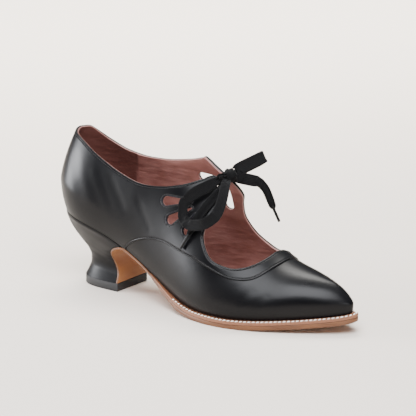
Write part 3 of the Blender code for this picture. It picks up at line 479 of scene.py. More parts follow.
    def fold(self, points: Array) -> tuple[Array, Array]:
        """Stations and girths of points in the flat pattern."""
        if self.known is None:
            girths = np.linspace(0.0, FOLD_TOP, FOLD_GIRTHS)
            lines, girths = np.meshgrid(self.lines, girths, indexing="ij")
            self.known = (lines.ravel(), girths.ravel())
            self.tree = nearest_tree(self.flat(*self.known))
        nearest = np.array([self.tree.find((p[0], p[1], 0.0))[1] for p in points])
        return self.solve(self.flat, points, self.known[0][nearest], self.known[1][nearest])

    def walk(self, station: float, girth: float, forward: Array, up: Array) -> tuple:
        """The places on the last that lie forward and up from another, over its surface.

        Args:
            station: the station to start from.
            girth: the girth to start from.
            forward: how far forward each place lies, in metres.
            up: how far up each place lies, in metres.

        Returns:
            The stations and the girths.
        """
        start = self.place(station, girth)
        normal = self.place(station, girth, 1.0) - start
        ahead = unit(np.array([1.0, 0.0, 0.0]) - normal * normal[0])
        above = np.cross(normal, ahead)
        above *= math.copysign(1.0, above[2])
        forward, up = np.atleast_1d(forward), np.atleast_1d(up)
        wanted = start + forward[:, None] * ahead + up[:, None] * above
        stations = np.full(len(forward), float(station))
        return self.solve(self.place, wanted, stations, np.full(len(forward), float(girth)))

    def feather(self, station: Array, outward: Array) -> Array:
        """Points on the feather edge at stations, pushed outward in plan by a distance."""
        here = self.row(station)[..., 0:3]
        run = unit((self.row(station + EDGE_STEP) - self.row(station - EDGE_STEP))[..., 0:2])
        out = np.stack([run[..., 1], -run[..., 0], np.zeros_like(run[..., 0])], -1)
        return here + out * np.asarray(outward, float)[..., None]


def nearest_tree(points: Array) -> KDTree:
    """A tree that finds the nearest of some points, flat ones at height 0."""
    tree = KDTree(len(points))
    for index, point in enumerate(points):
        tree.insert((point[0], point[1], point[2] if len(point) > 2 else 0.0), index)
    tree.balance()
    return tree


LAST = Last()


def read_rows(rows: dict, columns: tuple, at: Array, key: str) -> dict[str, Array]:
    """Values of a table's columns at a place between its rows, by its key column."""
    table = np.array(list(rows.values()))
    keys = table[:, columns.index(key)]
    return {name: np.interp(at, keys, table[:, columns.index(name)]) for name in columns}


def through(points: Array, spacing: float, closed: bool) -> Array:
    """Points at a spacing along a smooth curve through a few points, corners kept tight.

    Args:
        points: the points that the curve goes through.
        spacing: the distance between its own points.
        closed: whether it runs back to its start.

    Returns:
        The curve's points.
    """
    points = np.asarray(points, float)
    count = len(points)
    ends = points if closed else np.vstack([2 * points[0] - points[1], points,
                                            2 * points[-1] - points[-2]])
    spans = count if closed else count - 1
    out = []
    for index in range(spans):
        first = index - 1 if closed else index
        a, b, c, d = (ends[(first + k) % len(ends)] for k in range(4))
        knots = [0.0]
        for p, q in ((a, b), (b, c), (c, d)):
            knots.append(knots[-1] + max(math.sqrt(np.linalg.norm(q - p)), 1e-6))
        t0, t1, t2, t3 = knots
        steps = max(1, round(np.linalg.norm(c - b) / spacing))
        t = np.linspace(t1, t2, steps, endpoint=False)[:, None]
        ab = ((t1 - t) * a + (t - t0) * b) / (t1 - t0)
        bc = ((t2 - t) * b + (t - t1) * c) / (t2 - t1)
        cd = ((t3 - t) * c + (t - t2) * d) / (t3 - t2)
        abc = ((t2 - t) * ab + (t - t0) * bc) / (t2 - t0)
        bcd = ((t3 - t) * bc + (t - t1) * cd) / (t3 - t1)
        out.append(((t2 - t) * abc + (t - t1) * bcd) / (t2 - t1))
    if not closed:
        out.append(points[-1:])
    return np.vstack(out)


def inside(points: Array, loop: Array) -> Array:
    """Which flat points lie inside a closed loop."""
    result = np.zeros(len(points), bool)
    for (ax, ay), (bx, by) in zip(loop, np.roll(loop, -1, 0)):
        crosses = (ay > points[:, 1]) != (by > points[:, 1])
        level = np.where(crosses, (points[:, 1] - ay) / (by - ay if by != ay else 1.0), 0.0)
        result ^= crosses & (points[:, 0] < ax + level * (bx - ax))
    return result


def chain(first: int, count: int, closed: bool) -> list[tuple[int, int]]:
    """The edges along numbered points, and back to the first where the line closes."""
    edges = [(first + k, first + k + 1) for k in range(count - 1)]
    return edges + [(first + count - 1, first)] if closed else edges


@dataclass(frozen=True)
class Trace:
    """A line drawn on the last: its stations, its girths and whether it closes on itself."""

    station: Array
    girth: Array
    closed: bool

    def points(self, lift: float = 0.0) -> Array:
        """The line's points in space, lifted off the last."""
        return LAST.place(self.station, self.girth, lift)

    def flat(self) -> Array:
        """The line in the flat pattern."""
        return LAST.flat(self.station, self.girth)

    def run(self) -> Array:
        """The line's direction at each of its points."""
        here = self.points()
        run = np.roll(here, -1, 0) - np.roll(here, 1, 0) if self.closed else np.gradient(here, axis=0)
        return run / np.maximum(np.linalg.norm(run, axis=1)[:, None], 1e-9)

    def moved(self, distance: float) -> Trace:
        """The line moved sideways over the last, to the left of its run as seen from outside."""
        side = np.cross(LAST.normal(self.station, self.girth), self.run())
        wanted = self.points() + side * distance
        station, girth = LAST.solve(LAST.place, wanted, self.station, self.girth)
        return Trace(station, girth, self.closed)

    def kept(self, keep: Array) -> Trace:
        """An open line of the points that are kept."""
        return Trace(self.station[keep], self.girth[keep], False)

    def gap(self, points: Array) -> Array:
        """The distance of points in space from the line.

        Args:
            points: the points, at no lift from the last.

        Returns:
            Each point's distance from the nearest of the line's straight steps.
        """
        line = self.points()
        tree = nearest_tree(line)
        near = np.array([tree.find(p)[1] for p in points])
        best = np.full(len(points), np.inf)
        for shift in (-1, 0):
            start = near + shift
            start = start % len(line) if self.closed else np.clip(start, 0, len(line) - 2)
            a, b = line[start], line[(start + 1) % len(line)]
            run = b - a
            share = ((points - a) * run).sum(1) / np.maximum((run * run).sum(1), 1e-14)
            foot = a + np.clip(share, 0.0, 1.0)[:, None] * run
            best = np.minimum(best, np.linalg.norm(points - foot, axis=1))
        return best


def top_line() -> Trace:
    """The loop of the collar, tabs and throat."""
    outer = [LAST.flat(s, g) for s, g in TOP_LINE_OUTER.values()]
    inner = [LAST.flat(-s, g) for s, g in TOP_LINE_INNER.values()]
    flat = through(outer + inner[::-1], OUTLINE_SPACING, closed=True)
    return Trace(*LAST.fold(flat), True)


def lap_flat() -> Array:
    """The lapped edge of the quarter in the flat pattern, from side to side round the throat."""
    rows = list(LAP_LINE.values())
    outer = [LAST.flat(s, g) for s, g in rows]
    inner = [LAST.flat(-s, g) for s, g in rows[:-1]]
    return through(outer + inner[::-1], OUTLINE_SPACING, closed=False)


def petals() -> list[Trace]:
    """The teardrop cut-outs of both fans."""
    loops = []
    for centre, fan in FANS.values():
        for angle, reach in fan:
            heading = math.radians(angle)
            middle = 0.5 * (PETAL_TIP_GAP + reach)
            half = 0.5 * (reach - PETAL_TIP_GAP)
            ahead, above = math.cos(heading), math.sin(heading)
            station, girth = LAST.walk(*centre, middle * ahead, middle * above)
            lean = math.asin((PETAL_RADIUS - PETAL_TIP_RADIUS) / (2 * half - PETAL_RADIUS))
            big = np.linspace(-math.pi / 2 - lean, math.pi / 2 + lean, PETAL_ROUND_STEPS)
            small = np.linspace(math.pi / 2 + lean, 3 * math.pi / 2 - lean, PETAL_TIP_STEPS)
            corner = np.array([half - PETAL_RADIUS, PETAL_TIP_RADIUS - half])
            length = np.concatenate([corner[0] + PETAL_RADIUS * np.cos(big),
                                     corner[1] + PETAL_TIP_RADIUS * np.cos(small)])
            across = np.concatenate([PETAL_RADIUS * np.sin(big),
                                     PETAL_TIP_RADIUS * np.sin(small)])
            sides = spaced(np.stack([length, across], 1), OUTLINE_SPACING)
            forward = sides[:, 0] * ahead - sides[:, 1] * above
            up = sides[:, 0] * above + sides[:, 1] * ahead
            loops.append(Trace(*LAST.walk(station[0], girth[0], forward, up), True))
    return loops


def spaced(loop: Array, spacing: float) -> Array:
    """A closed loop of points with its long straight steps cut up."""
    out = []
    for a, b in zip(loop, np.roll(loop, -1, 0)):
        steps = max(1, round(np.linalg.norm(b - a) / spacing))
        out.extend(a + (b - a) * k / steps for k in range(steps))
    return np.array(out)


def eyelets() -> list[Trace]:
    """The lace holes."""
    turns = np.linspace(0.0, 2 * math.pi, EYELET_STEPS, endpoint=False)
    forward, up = EYELET_RADIUS * np.cos(turns), EYELET_RADIUS * np.sin(turns)
    return [Trace(*LAST.walk(s, g, forward, up), True) for s, g in EYELETS.values()]


def add_object(name: str, data: ID) -> Object:
    """A new object in the scene, at the origin."""
    thing = bpy.data.objects.new(name, data)
    bpy.context.scene.collection.objects.link(thing)
    return thing


def dress(piece: Object, slot: str, *nodes: str) -> None:
    """Let a piece ride with the shoe and stand for solids.

    Args:
        piece: the piece.
        slot: not used.
        nodes: the solids that it stands for.
    """
    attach(piece, BODY)
    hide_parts(*nodes)
    LOG.info("%s: %d points", piece.name, len(piece.data.vertices))


def new_piece(name: str, vertices: Array, faces: list, material: Material,
              clean: bool = True) -> Object:
    """A mesh object with its faces pointing out, smooth but for its sharp corners.

    Args:
        name: the piece's name.
        vertices: its points, with x from the heel on the floor.
        faces: its faces as rows of corners.
        material: its finish.
        clean: whether near points are joined, which loses their numbering.

    Returns:
        The object, linked into the scene.
    """
    mesh = bpy.data.meshes.new(name)
    placed = np.asarray(vertices) - ORIGIN
    mesh.from_pydata(placed.tolist(), [], [tuple(int(v) for v in f) for f in faces])
    work = bmesh.new()
    work.from_mesh(mesh)
    if clean:
        bmesh.ops.remove_doubles(work, verts=work.verts, dist=JOIN_WITHIN)
        bmesh.ops.dissolve_degenerate(work, edges=work.edges, dist=SLIVER)
    bmesh.ops.recalc_face_normals(work, faces=work.faces)
    work.to_mesh(mesh)
    work.free()
    mesh.shade_smooth()
    mesh.set_sharp_from_angle(angle=math.radians(SHARP_ANGLE))
    mesh.materials.append(material)
    return add_object(name, mesh)


def stack(name: str, rings: list, material: Material, clean: bool = True) -> Object:
    """A solid through rings of points, closed at both ends.

    Args:
        name: the piece's name.
        rings: the rings, each from one side round an end to the other.
        material: its finish.
        clean: whether near points are joined.

    Returns:
        The solid.
    """
    rings = [np.asarray(ring) for ring in rings]
    count = len(rings[0])
    faces = []
    for level in range(len(rings) - 1):
        low, high = level * count, (level + 1) * count
        for k in range(count):
            n = (k + 1) % count
            faces.append((low + k, low + n, high + n, high + k))
    for start in (0, (len(rings) - 1) * count):
        for k in range(count // 2):
            across = (start + k, start + k + 1, start + count - 2 - k, start + count - 1 - k)
            if len(set(across)) > 2:
                faces.append(tuple(dict.fromkeys(across)))
    return new_piece(name, np.vstack(rings), faces, material, clean)


def add_values(piece: Object, name: str, values: Array) -> None:
    """Keep a number for each of a piece's points as an attribute that its finish can read."""
    layer = piece.data.attributes.new(name, "FLOAT", "POINT")
    layer.data.foreach_set("value", np.asarray(values, np.float32))


def linear(hex_colour: str) -> tuple[float, float, float, float]:
    """An sRGB hex colour as linear red, green, blue and 1."""
    shares = [int(hex_colour[k:k + 2], 16) / 255 for k in (1, 3, 5)]
    return (*(s / 12.92 if s <= 0.04045 else ((s + 0.055) / 1.055) ** 2.4 for s in shares), 1.0)


def add_node(tree: NodeTree, kind: str, inputs: dict | None = None, **settings: object) -> Node:
    """Add a node to a tree.

    Args:
        tree: the tree.
        kind: the node's type.
        inputs: by name or number, values, or sockets to link, or nodes whose first output to link.
        settings: the node's own settings.

    Returns:
        The node.
    """
    node = tree.nodes.new(kind)
    for name, value in settings.items():
        setattr(node, name, value)
    for name, value in (inputs or {}).items():
        if isinstance(value, Node):
            value = value.outputs[0]
        if isinstance(value, NodeSocket):
            tree.links.new(value, node.inputs[name])
        else:
            node.inputs[name].default_value = value
    return node


def per_metre(millimetres: float) -> float:
    """The scale of a pattern that repeats at a size in millimetres."""
    return 1.0 / (millimetres * MM)


class Canvas:
    """A new material's tree and the few nodes that each finish starts from."""

    def __init__(self, name: str) -> None:
        self.material = bpy.data.materials.new(name)
        self.material.use_nodes = True
        self.tree = self.material.node_tree
        self.shader = self.tree.nodes["Principled BSDF"]
        self.coordinates = add_node(self.tree, "ShaderNodeTexCoord").outputs["Object"]

    def add(self, kind: str, inputs: dict | None = None, **settings: object) -> Node:
        """Add a node to this material."""
        return add_node(self.tree, kind, inputs, **settings)

    def noise(self, size_mm: float, detail: float = 3.0,
              vector: NodeSocket | None = None) -> NodeSocket:
        """A noise whose blotches have a size in millimetres."""
        vector = vector or self.coordinates
        node = self.add("ShaderNodeTexNoise", {"Vector": vector, "Scale": per_metre(size_mm),
                                               "Detail": detail})
        return node.outputs["Fac"]

    def stretched(self, x: float, y: float, z: float) -> NodeSocket:
        """The object's coordinates, squeezed along each axis."""
        return self.add("ShaderNodeMapping", {"Vector": self.coordinates,
                                              "Scale": (x, y, z)}).outputs["Vector"]

    def attribute(self, name: str) -> NodeSocket:
        """A number that the piece carries at its points."""
        return self.add("ShaderNodeAttribute", attribute_name=name).outputs["Fac"]

    def between(self, value: NodeSocket, low: float, high: float, to_low: float = 0.0,
                to_high: float = 1.0) -> NodeSocket:
        """A value's place between two others, smoothly carried over to a new range."""
        node = self.add("ShaderNodeMapRange", {"Value": value, "From Min": low, "From Max": high,
                                               "To Min": to_low, "To Max": to_high},
                        interpolation_type="SMOOTHSTEP")
        return node.outputs["Result"]

    def math(self, operation: str, *values: object) -> NodeSocket:
        """Arithmetic on numbers and sockets."""
        return self.add("ShaderNodeMath", dict(enumerate(values)),
                        operation=operation).outputs["Value"]

    def mix(self, share: object, first: object, second: object) -> NodeSocket:
        """A colour between two, each a hex value or a socket."""
        first, second = (linear(c) if isinstance(c, str) else c for c in (first, second))
        node = self.add("ShaderNodeMix", {0: share, 6: first, 7: second}, data_type="RGBA")
        return node.outputs[2]

    def bump(self, height: NodeSocket, depth_mm: float,
             under: NodeSocket | None = None) -> NodeSocket:
        """A relief of a depth in millimetres, on top of another."""
        inputs = {"Height": height, "Distance": depth_mm * MM, "Strength": 1.0}
        if under is not None:
            inputs["Normal"] = under
        return self.add("ShaderNodeBump", inputs).outputs["Normal"]

    def finish(self, colour: object, roughness: object, normal: object = None,
               **fixed: float) -> Material:
        """Join colour, roughness and relief to the shader and set its fixed values.

        Args:
            colour: a hex value or a socket.
            roughness: a number or a socket.
            normal: the relief's socket, or None.
            fixed: values of the shader's own sockets, with underscores for spaces.

        Returns:
            The material.
        """
        wanted = {"Base Color": linear(colour) if isinstance(colour, str) else colour,
                  "Roughness": roughness, **{k.replace("_", " "): v for k, v in fixed.items()}}
        if normal is not None:
            wanted["Normal"] = normal
        for name, value in wanted.items():
            if isinstance(value, NodeSocket):
                self.tree.links.new(value, self.shader.inputs[name])
            else:
                self.shader.inputs[name].default_value = value
        return self.material


@dataclass(frozen=True)
class PolishedCalf:
    """Calf leather, drum dyed black and lightly polished.

    It gives a broad soft sheen under a softbox, a little uneven, over a fine tight grain.  The folded
    edge round the petals is painted a little greyer, partly rubbed wear and partly a painted
    highlight where the rolled edge catches the light, and the stitch furrows and the vamp's strip
    beside the lap
    are painted darker: painted shade, with the dark of the thread in the furrows.
    """

    name: str = "polished_calf"
    colour: str = "#060608"
    # Round the petals: partly rubbed wear, partly a painted highlight on the rolled edge
    rim_wear_and_highlight: str = "#1c1c20"
    groove_shade: str = "#030304"
    # Painted shade for the stitch furrows and the vamp beside the lap
    roughness: float = 0.35
    unevenness: float = 0.08
    mottle_mm: float = 34.0
    grain_mm: float = 1.1
    dimple_mm: float = 7.0
    grain_depth_mm: float = 0.004
    dimple_depth_mm: float = 0.05
    rim_mm: float = 0.95
    rim_fade_mm: float = 0.3
    gloss: float = 0.17

    def make(self) -> Material:
        """The finish as a material."""
        canvas = Canvas(self.name)
        mottle = canvas.noise(self.mottle_mm, 1.0)
        # The folded edge round the petals is painted lighter: partly rubbed wear, partly a painted
        # highlight where it catches the light
        on_rim_wear_and_highlight = canvas.between(canvas.attribute("petal_mm"), self.rim_mm,
                                self.rim_mm - self.rim_fade_mm)
        colour = canvas.mix(on_rim_wear_and_highlight, self.colour, self.rim_wear_and_highlight)
        # Painted shade: darker in the stitch furrows, with the thread's dark, and on the vamp beside
        # the lap
        colour = canvas.mix(canvas.attribute("groove_shade"), colour, self.groove_shade)
        roughness = canvas.between(mottle, 0.15, 0.85, self.roughness - self.unevenness,
                                   self.roughness + self.unevenness)
        dimples = canvas.bump(canvas.noise(self.dimple_mm, 2.0), self.dimple_depth_mm)
        pebbles = canvas.add("ShaderNodeTexVoronoi", {"Vector": canvas.coordinates,
                                                      "Scale": per_metre(self.grain_mm)})
        grain = canvas.bump(pebbles.outputs["Distance"], self.grain_depth_mm, dimples)
        return canvas.finish(colour, roughness, grain, Specular_IOR_Level=self.gloss)


@dataclass(frozen=True)
class LiningCalf:
    """Vegetable-tanned lining leather, red-brown, its face matt and faintly wrinkled by lasting."""

    name: str = "lining_calf"
    colour: str = "#8b5f57"
    deep: str = "#6f443c"
    counter: str = "#59352f"
    cut_edge: str = "#86605a"
    roughness: float = 0.55
    blotch_mm: float = 18.0
    wrinkle_mm: float = 5.0
    wrinkle_depth_mm: float = 0.7
    grain_mm: float = 0.9
    grain_depth_mm: float = 0.03
    edge_mm: float = 0.35
    edge_fade_mm: float = 0.25
    gloss: float = 0.35

    def make(self) -> Material:
        """The finish as a material."""
        canvas = Canvas(self.name)
        blotch = canvas.noise(self.blotch_mm, 4.0, canvas.stretched(0.6, 0.6, 1.6))
        colour = canvas.mix(canvas.between(blotch, 0.35, 0.7), self.colour, self.deep)
        colour = canvas.mix(canvas.attribute("counter"), colour, self.counter)
        on_edge = canvas.between(canvas.attribute("edge_mm"), self.edge_mm,
                                 self.edge_mm - self.edge_fade_mm)
        colour = canvas.mix(on_edge, colour, self.cut_edge)
        wrinkles = canvas.noise(self.wrinkle_mm, 5.0, canvas.stretched(0.35, 0.5, 1.6))
        relief = canvas.bump(wrinkles, self.wrinkle_depth_mm)
        relief = canvas.bump(canvas.noise(self.grain_mm, 2.0), self.grain_depth_mm, relief)
        return canvas.finish(colour, self.roughness, relief, Specular_IOR_Level=self.gloss)


@dataclass(frozen=True)
class BrushedLeather:
    """Plain leather of one tone with a second for its edge, such as a welt, a sole or a sock.

    A cut and waxed edge shows darker than the face, with faint streaks along it.
    """

    name: str
    face: str
    edge: str
    roughness: float
    streak_mm: float = 9.0
    face_streaks: float = 0.22
    edge_streaks: float = 0.25
    grain_mm: float = 1.3
    grain_depth_mm: float = 0.03
    gloss: float = 0.4

    def make(self) -> Material:
        """The finish as a material."""
        canvas = Canvas(self.name)
        streaks = canvas.noise(self.streak_mm, 4.0, canvas.stretched(0.4, 0.4, 2.4))
        face = canvas.mix(canvas.between(streaks, 0.3, 0.75, 0.0, self.face_streaks),
                          self.face, self.edge)
        edge = canvas.mix(canvas.between(streaks, 0.3, 0.75, 0.0, self.edge_streaks),
                          self.edge, self.face)
        colour = canvas.mix(canvas.attribute("edge_tone"), face, edge)
        relief = canvas.bump(canvas.noise(self.grain_mm), self.grain_depth_mm)
        return canvas.finish(colour, self.roughness, relief, Specular_IOR_Level=self.gloss)


@dataclass(frozen=True)
class WovenCotton:
    """Soft flat-woven cotton braid, black: matt, with ribs along it and a fuzzy sheen at its rim."""

    name: str = "woven_cotton"
    colour: str = "#040405"
    raised: str = "#0e0e0f"
    rib_mm: float = 1.1
    pick_mm: float = 0.9
    pick_slant: float = 0.8
    rib_share: float = 0.65
    fuzz_mm: float = 1.6
    fuzz_share: float = 1.2
    relief_mm: float = 0.07
    roughness: float = 0.92

    def make(self) -> Material:
        """The finish as a material."""
        canvas = Canvas(self.name)
        across, along = canvas.attribute("across_mm"), canvas.attribute("along_mm")
        ribs = canvas.math("SINE", canvas.math("MULTIPLY", across, 2 * math.pi / self.rib_mm))
        slanted = canvas.math("MULTIPLY", across, self.pick_slant)
        shifted = canvas.math("ADD", along, slanted)
        picks = canvas.math("SINE", canvas.math("MULTIPLY", shifted, 2 * math.pi / self.pick_mm))
        weave = canvas.math("ADD", canvas.math("MULTIPLY", ribs, self.rib_share),
                            canvas.math("MULTIPLY", picks, 1.0 - self.rib_share))
        fuzz = canvas.math("MULTIPLY", canvas.noise(self.fuzz_mm, 4.0), self.fuzz_share)
        height = canvas.math("ADD", weave, fuzz)
        colour = canvas.mix(canvas.between(height, -0.4, 1.4), self.colour, self.raised)
        relief = canvas.bump(height, self.relief_mm)
        return canvas.finish(colour, self.roughness, relief, Specular_IOR_Level=0.12,
                             Sheen_Weight=0.04, Sheen_Roughness=0.5)


@dataclass(frozen=True)
class SmoothFinish:
    """A smooth thing of one colour, such as waxed thread, a lace tip or moulded rubber."""

    name: str
    colour: str
    roughness: float
    gloss: float = 0.4
    skin_mm: float = 0.6
    skin_depth_mm: float = 0.02

    def make(self) -> Material:
        """The finish as a material."""
        canvas = Canvas(self.name)
        relief = canvas.bump(canvas.noise(self.skin_mm, 2.0), self.skin_depth_mm)
        return canvas.finish(self.colour, self.roughness, relief, Specular_IOR_Level=self.gloss)


BLACK_CALF = PolishedCalf()
HEEL_CALF = PolishedCalf(name="heel_calf", roughness=0.42, mottle_mm=16.0, gloss=0.12)
LINING = LiningCalf()
SOCK = BrushedLeather("sock_leather", "#714438", "#6b3d33", 0.6)
WELT = BrushedLeather("welt_leather", "#7d523a", "#6b4531", 0.5)
SOLE = BrushedLeather("sole_leather", "#99653a", "#563521", 0.5)
COTTON = WovenCotton()
# Hard rubber, dark grey and matt, with the faint skin of its mould
RUBBER = SmoothFinish("moulded_rubber", "#1d1d1e", 0.62, skin_mm=0.8)
# Black film rolled hard round the lace's end
LACE_TIP = SmoothFinish("lace_tip", "#0a0a0b", 0.5, 0.25)
# Sewing thread, polished polyester in black and waxed linen in cream
BLACK_THREAD = SmoothFinish("black_thread", "#0b0b0c", 0.55)
PALE_THREAD = SmoothFinish("waxed_linen_thread", "#ece6dc", 0.5)
# A matt paper floor, warm off-white
STUDIO_FLOOR = SmoothFinish("studio_floor", "#dad1c7", 0.95, 0.1)


@dataclass(frozen=True)
class Seam:
    """A row of stitches: how far apart they are, how long, how thick, and how they lean."""

    name: str
    pitch: float
    length: float
    width: float
    thread: SmoothFinish
    lean: float = 0.0
    seed: int = 7
    wobble: Point = (0.0, 0.05, 0.07)

    def inputs(self) -> dict[str, tuple[str, object]]:
        """The kind and the value of each of the tree's named inputs."""
        return {"Pitch": ("Float", self.pitch), "Stitch Length": ("Float", self.length),
                "Thread Width": ("Float", self.width), "Lean": ("Float", self.lean),
                "Seed": ("Int", self.seed), "Thread": ("Material", self.thread.make())}

    def tree(self, inputs: dict) -> tuple[NodeTree, dict[str, str]]:
        """The Geometry Nodes tree that lays a stitch at every pitch along the lines given.

        Args:
            inputs: the kind and the value of each named input.

        Returns:
            The tree and its inputs' identifiers by name.
        """
        tree = bpy.data.node_groups.new(self.name, "GeometryNodeTree")
        face = tree.interface
        face.new_socket("Lines", in_out="INPUT", socket_type="NodeSocketGeometry")
        named = {label: face.new_socket(label, in_out="INPUT",
                                        socket_type="NodeSocket" + kind).identifier
                 for label, (kind, _) in inputs.items()}
        face.new_socket("Stitches", in_out="OUTPUT", socket_type="NodeSocketGeometry")
        entry = add_node(tree, "NodeGroupInput").outputs
        lines = add_node(tree, "GeometryNodeMeshToCurve", {"Mesh": entry["Lines"]})
        points = add_node(tree, "GeometryNodeResampleCurve",
                          {"Curve": lines, "Length": entry["Pitch"]}, mode="LENGTH")
        facing = add_node(tree, "GeometryNodeInputNamedAttribute", {"Name": "facing"},
                          data_type="FLOAT_VECTOR")
        upright = add_node(tree, "FunctionNodeAlignRotationToVector", {"Vector": facing}, axis="Z")
        tangent = add_node(tree, "GeometryNodeInputTangent")
        along = add_node(tree, "FunctionNodeAlignRotationToVector",
                         {"Rotation": upright, "Vector": tangent}, axis="X", pivot_axis="Z")
        wobble = add_node(tree, "FunctionNodeRandomValue",
                          {"Min": tuple(-turn for turn in self.wobble), "Max": self.wobble,
                           "Seed": entry["Seed"]}, data_type="FLOAT_VECTOR")
        lean = add_node(tree, "ShaderNodeCombineXYZ", {"Z": entry["Lean"]})
        turned = add_node(tree, "ShaderNodeVectorMath", {0: wobble, 1: lean}, operation="ADD")
        turn = add_node(tree, "FunctionNodeEulerToRotation", {"Euler": turned})
        rotation = add_node(tree, "FunctionNodeRotateRotation",
                            {"Rotation": along, "Rotate By": turn}, rotation_space="LOCAL")
        ball = add_node(tree, "GeometryNodeMeshUVSphere", {"Segments": 8, "Rings": 5, "Radius": 0.5})
        size = add_node(tree, "ShaderNodeCombineXYZ", {
            "X": entry["Stitch Length"], "Y": entry["Thread Width"], "Z": entry["Thread Width"]})
        stitch = add_node(tree, "GeometryNodeTransform", {"Geometry": ball, "Scale": size})
        placed = add_node(tree, "GeometryNodeInstanceOnPoints",
                          {"Points": points, "Instance": stitch, "Rotation": rotation})
        real = add_node(tree, "GeometryNodeRealizeInstances", {"Geometry": placed})
        dressed = add_node(tree, "GeometryNodeSetMaterial",
                           {"Geometry": real, "Material": entry["Thread"]})
        add_node(tree, "NodeGroupOutput", {0: dressed})
        return tree, named

    def sew(self, rows: list[tuple[Array, Array, bool]]) -> Object:
        """Lay the stitches along rows.

        Args:
            rows: each row's points, the way out of the surface there, and whether it closes.

        Returns:
            The stitches as one plain mesh piece.
        """
        mesh = bpy.data.meshes.new(self.name + "_lines")
        points = np.vstack([row[0] for row in rows]) - ORIGIN
        edges, first = [], 0
        for line, _, closed in rows:
            edges += chain(first, len(line), closed)
            first += len(line)
        mesh.from_pydata(points.tolist(), edges, [])
        facing = mesh.attributes.new("facing", "FLOAT_VECTOR", "POINT")
        facing.data.foreach_set("vector", np.vstack([row[1] for row in rows]).ravel())
        lines = add_object(mesh.name, mesh)
        inputs = self.inputs()
        tree, named = self.tree(inputs)
        modifier = lines.modifiers.new(self.name, "NODES")
        modifier.node_group = tree
        for label, (_, value) in inputs.items():
            modifier[named[label]] = value
        evaluated = lines.evaluated_get(bpy.context.evaluated_depsgraph_get())
        stitches = bpy.data.meshes.new_from_object(evaluated)
        lines.modifiers.remove(modifier)
        bpy.data.objects.remove(lines, do_unlink=True)
        stitches.name = self.name
        stitches.shade_smooth()
        piece = add_object(self.name, stitches)
        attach(piece, BODY)
        LOG.info("%s: %d points", piece.name, len(stitches.vertices))
        return piece


EDGE_SEAM = Seam("edge_stitches", 0.0023, 0.0019, 0.00042, BLACK_THREAD)
WELT_SEAM = Seam("welt_stitches", 0.0031, 0.0026, 0.0010, PALE_THREAD, lean=0.25)


@dataclass(frozen=True)
class Softbox:
    """A rectangular softbox: where it hangs, where it points, its size, power and light."""

    name: str
    at: Point
    towards: Point
    size: tuple[float, float]
    power: float
    tint: str = "#f9fbff"
    spread: float = 180.0

    def hang(self) -> None:
        """Put the lamp in the scene."""
        data = bpy.data.lights.new(self.name, "AREA")
        data.shape = "RECTANGLE"
        data.size, data.size_y = self.size
        data.energy = self.power
        data.color = linear(self.tint)[0:3]
        data.spread = math.radians(self.spread)
        lamp = add_object(self.name, data)
        lamp.location = self.at
        look = Vector(self.towards) - Vector(self.at)
        lamp.rotation_euler = look.to_track_quat("-Z", "Y").to_euler()


SOFTBOXES = (
    Softbox("key_softbox", (-1.09, -0.66, 0.30), (0.03, -0.03, 0.08), (0.6, 0.42), 34.0),
    Softbox("overhead_softbox", (0.40, -0.47, 0.92), (0.15, -0.02, 0.03), (0.85, 0.75), 30.0),
    Softbox("toe_light", (1.20, -0.40, 0.30), (0.21, 0.0, 0.02), (0.2, 0.2), 3.0),
    Softbox("backdrop_softbox", (-1.1, 1.7, 1.9), (-0.9, 1.5, 0.0), (2.8, 2.8), 150.0,
            "#fffdf8", 70.0),
)


@dataclass(frozen=True)
class Studio:
    """The camera at the photograph's angle, the floor and the air round the shoe."""

    camera_at: Point = (0.75975, -0.94881, 0.37564)
    looks_at: Point = (0.090175, 0.000064, 0.073486)
    roll: float = 0.05
    lens: float = 142.8
    shift_up: float = -0.0040
    sensor: float = 36.0
    dark: float = 0.08
    bright: float = 0.60
    dark_below: float = 0.15
    bright_above: float = 0.85
    air_tint: str = "#e8eaf2"
    floor_half: float = 6.0

    def aim(self) -> None:
        """Set the camera at the photograph's angle."""
        data = bpy.data.cameras.new("camera")
        data.lens = self.lens
        data.sensor_width = self.sensor
        data.sensor_height = self.sensor
        data.shift_y = self.shift_up
        camera = add_object("camera", data)
        camera.location = self.camera_at
        look = Vector(self.looks_at) - Vector(self.camera_at)
        camera.rotation_euler = look.to_track_quat("-Z", "Y").to_euler()
        camera.rotation_euler.rotate_axis("Z", math.radians(self.roll))
        bpy.context.scene.camera = camera

    def air(self) -> None:
        """The studio round the shoe: bright overhead, dark at the level of the camera."""
        world = bpy.data.worlds.new("studio")
        world.use_nodes = True
        tree = world.node_tree
        height = add_node(tree, "ShaderNodeSeparateXYZ", {
            "Vector": add_node(tree, "ShaderNodeTexCoord").outputs["Generated"]})
        share = add_node(tree, "ShaderNodeMapRange", {
            "Value": height.outputs["Z"], "From Min": self.dark_below, "From Max": self.bright_above,
            "To Min": self.dark, "To Max": self.bright}, interpolation_type="SMOOTHSTEP")
        background = tree.nodes["Background"]
        background.inputs["Color"].default_value = linear(self.air_tint)
        tree.links.new(share.outputs["Result"], background.inputs["Strength"])
        bpy.context.scene.world = world

    def floor(self) -> None:
        """The pale floor."""
        mesh = bpy.data.meshes.new("floor")
        half = self.floor_half
        mesh.from_pydata([(-half, -half, 0), (half, -half, 0), (half, half, 0), (-half, half, 0)],
                         [], [(0, 1, 2, 3)])
        mesh.materials.append(STUDIO_FLOOR.make())
        add_object("floor", mesh)


@dataclass(frozen=True)
class Strand:
    """One half of the lace: the route of its loop, its turn in the knot and its end, and its tip."""

    side: str
    rows: tuple[tuple[float, ...], ...]
    tip: tuple[Point, Point]
    holds_knot: bool = False


STRANDS = (Strand("left", LOOP_LEFT + LINK_LEFT + END_LEFT, TIP_LEFT, holds_knot=True),
           Strand("right", LOOP_RIGHT + LINK_RIGHT + END_RIGHT, TIP_RIGHT))


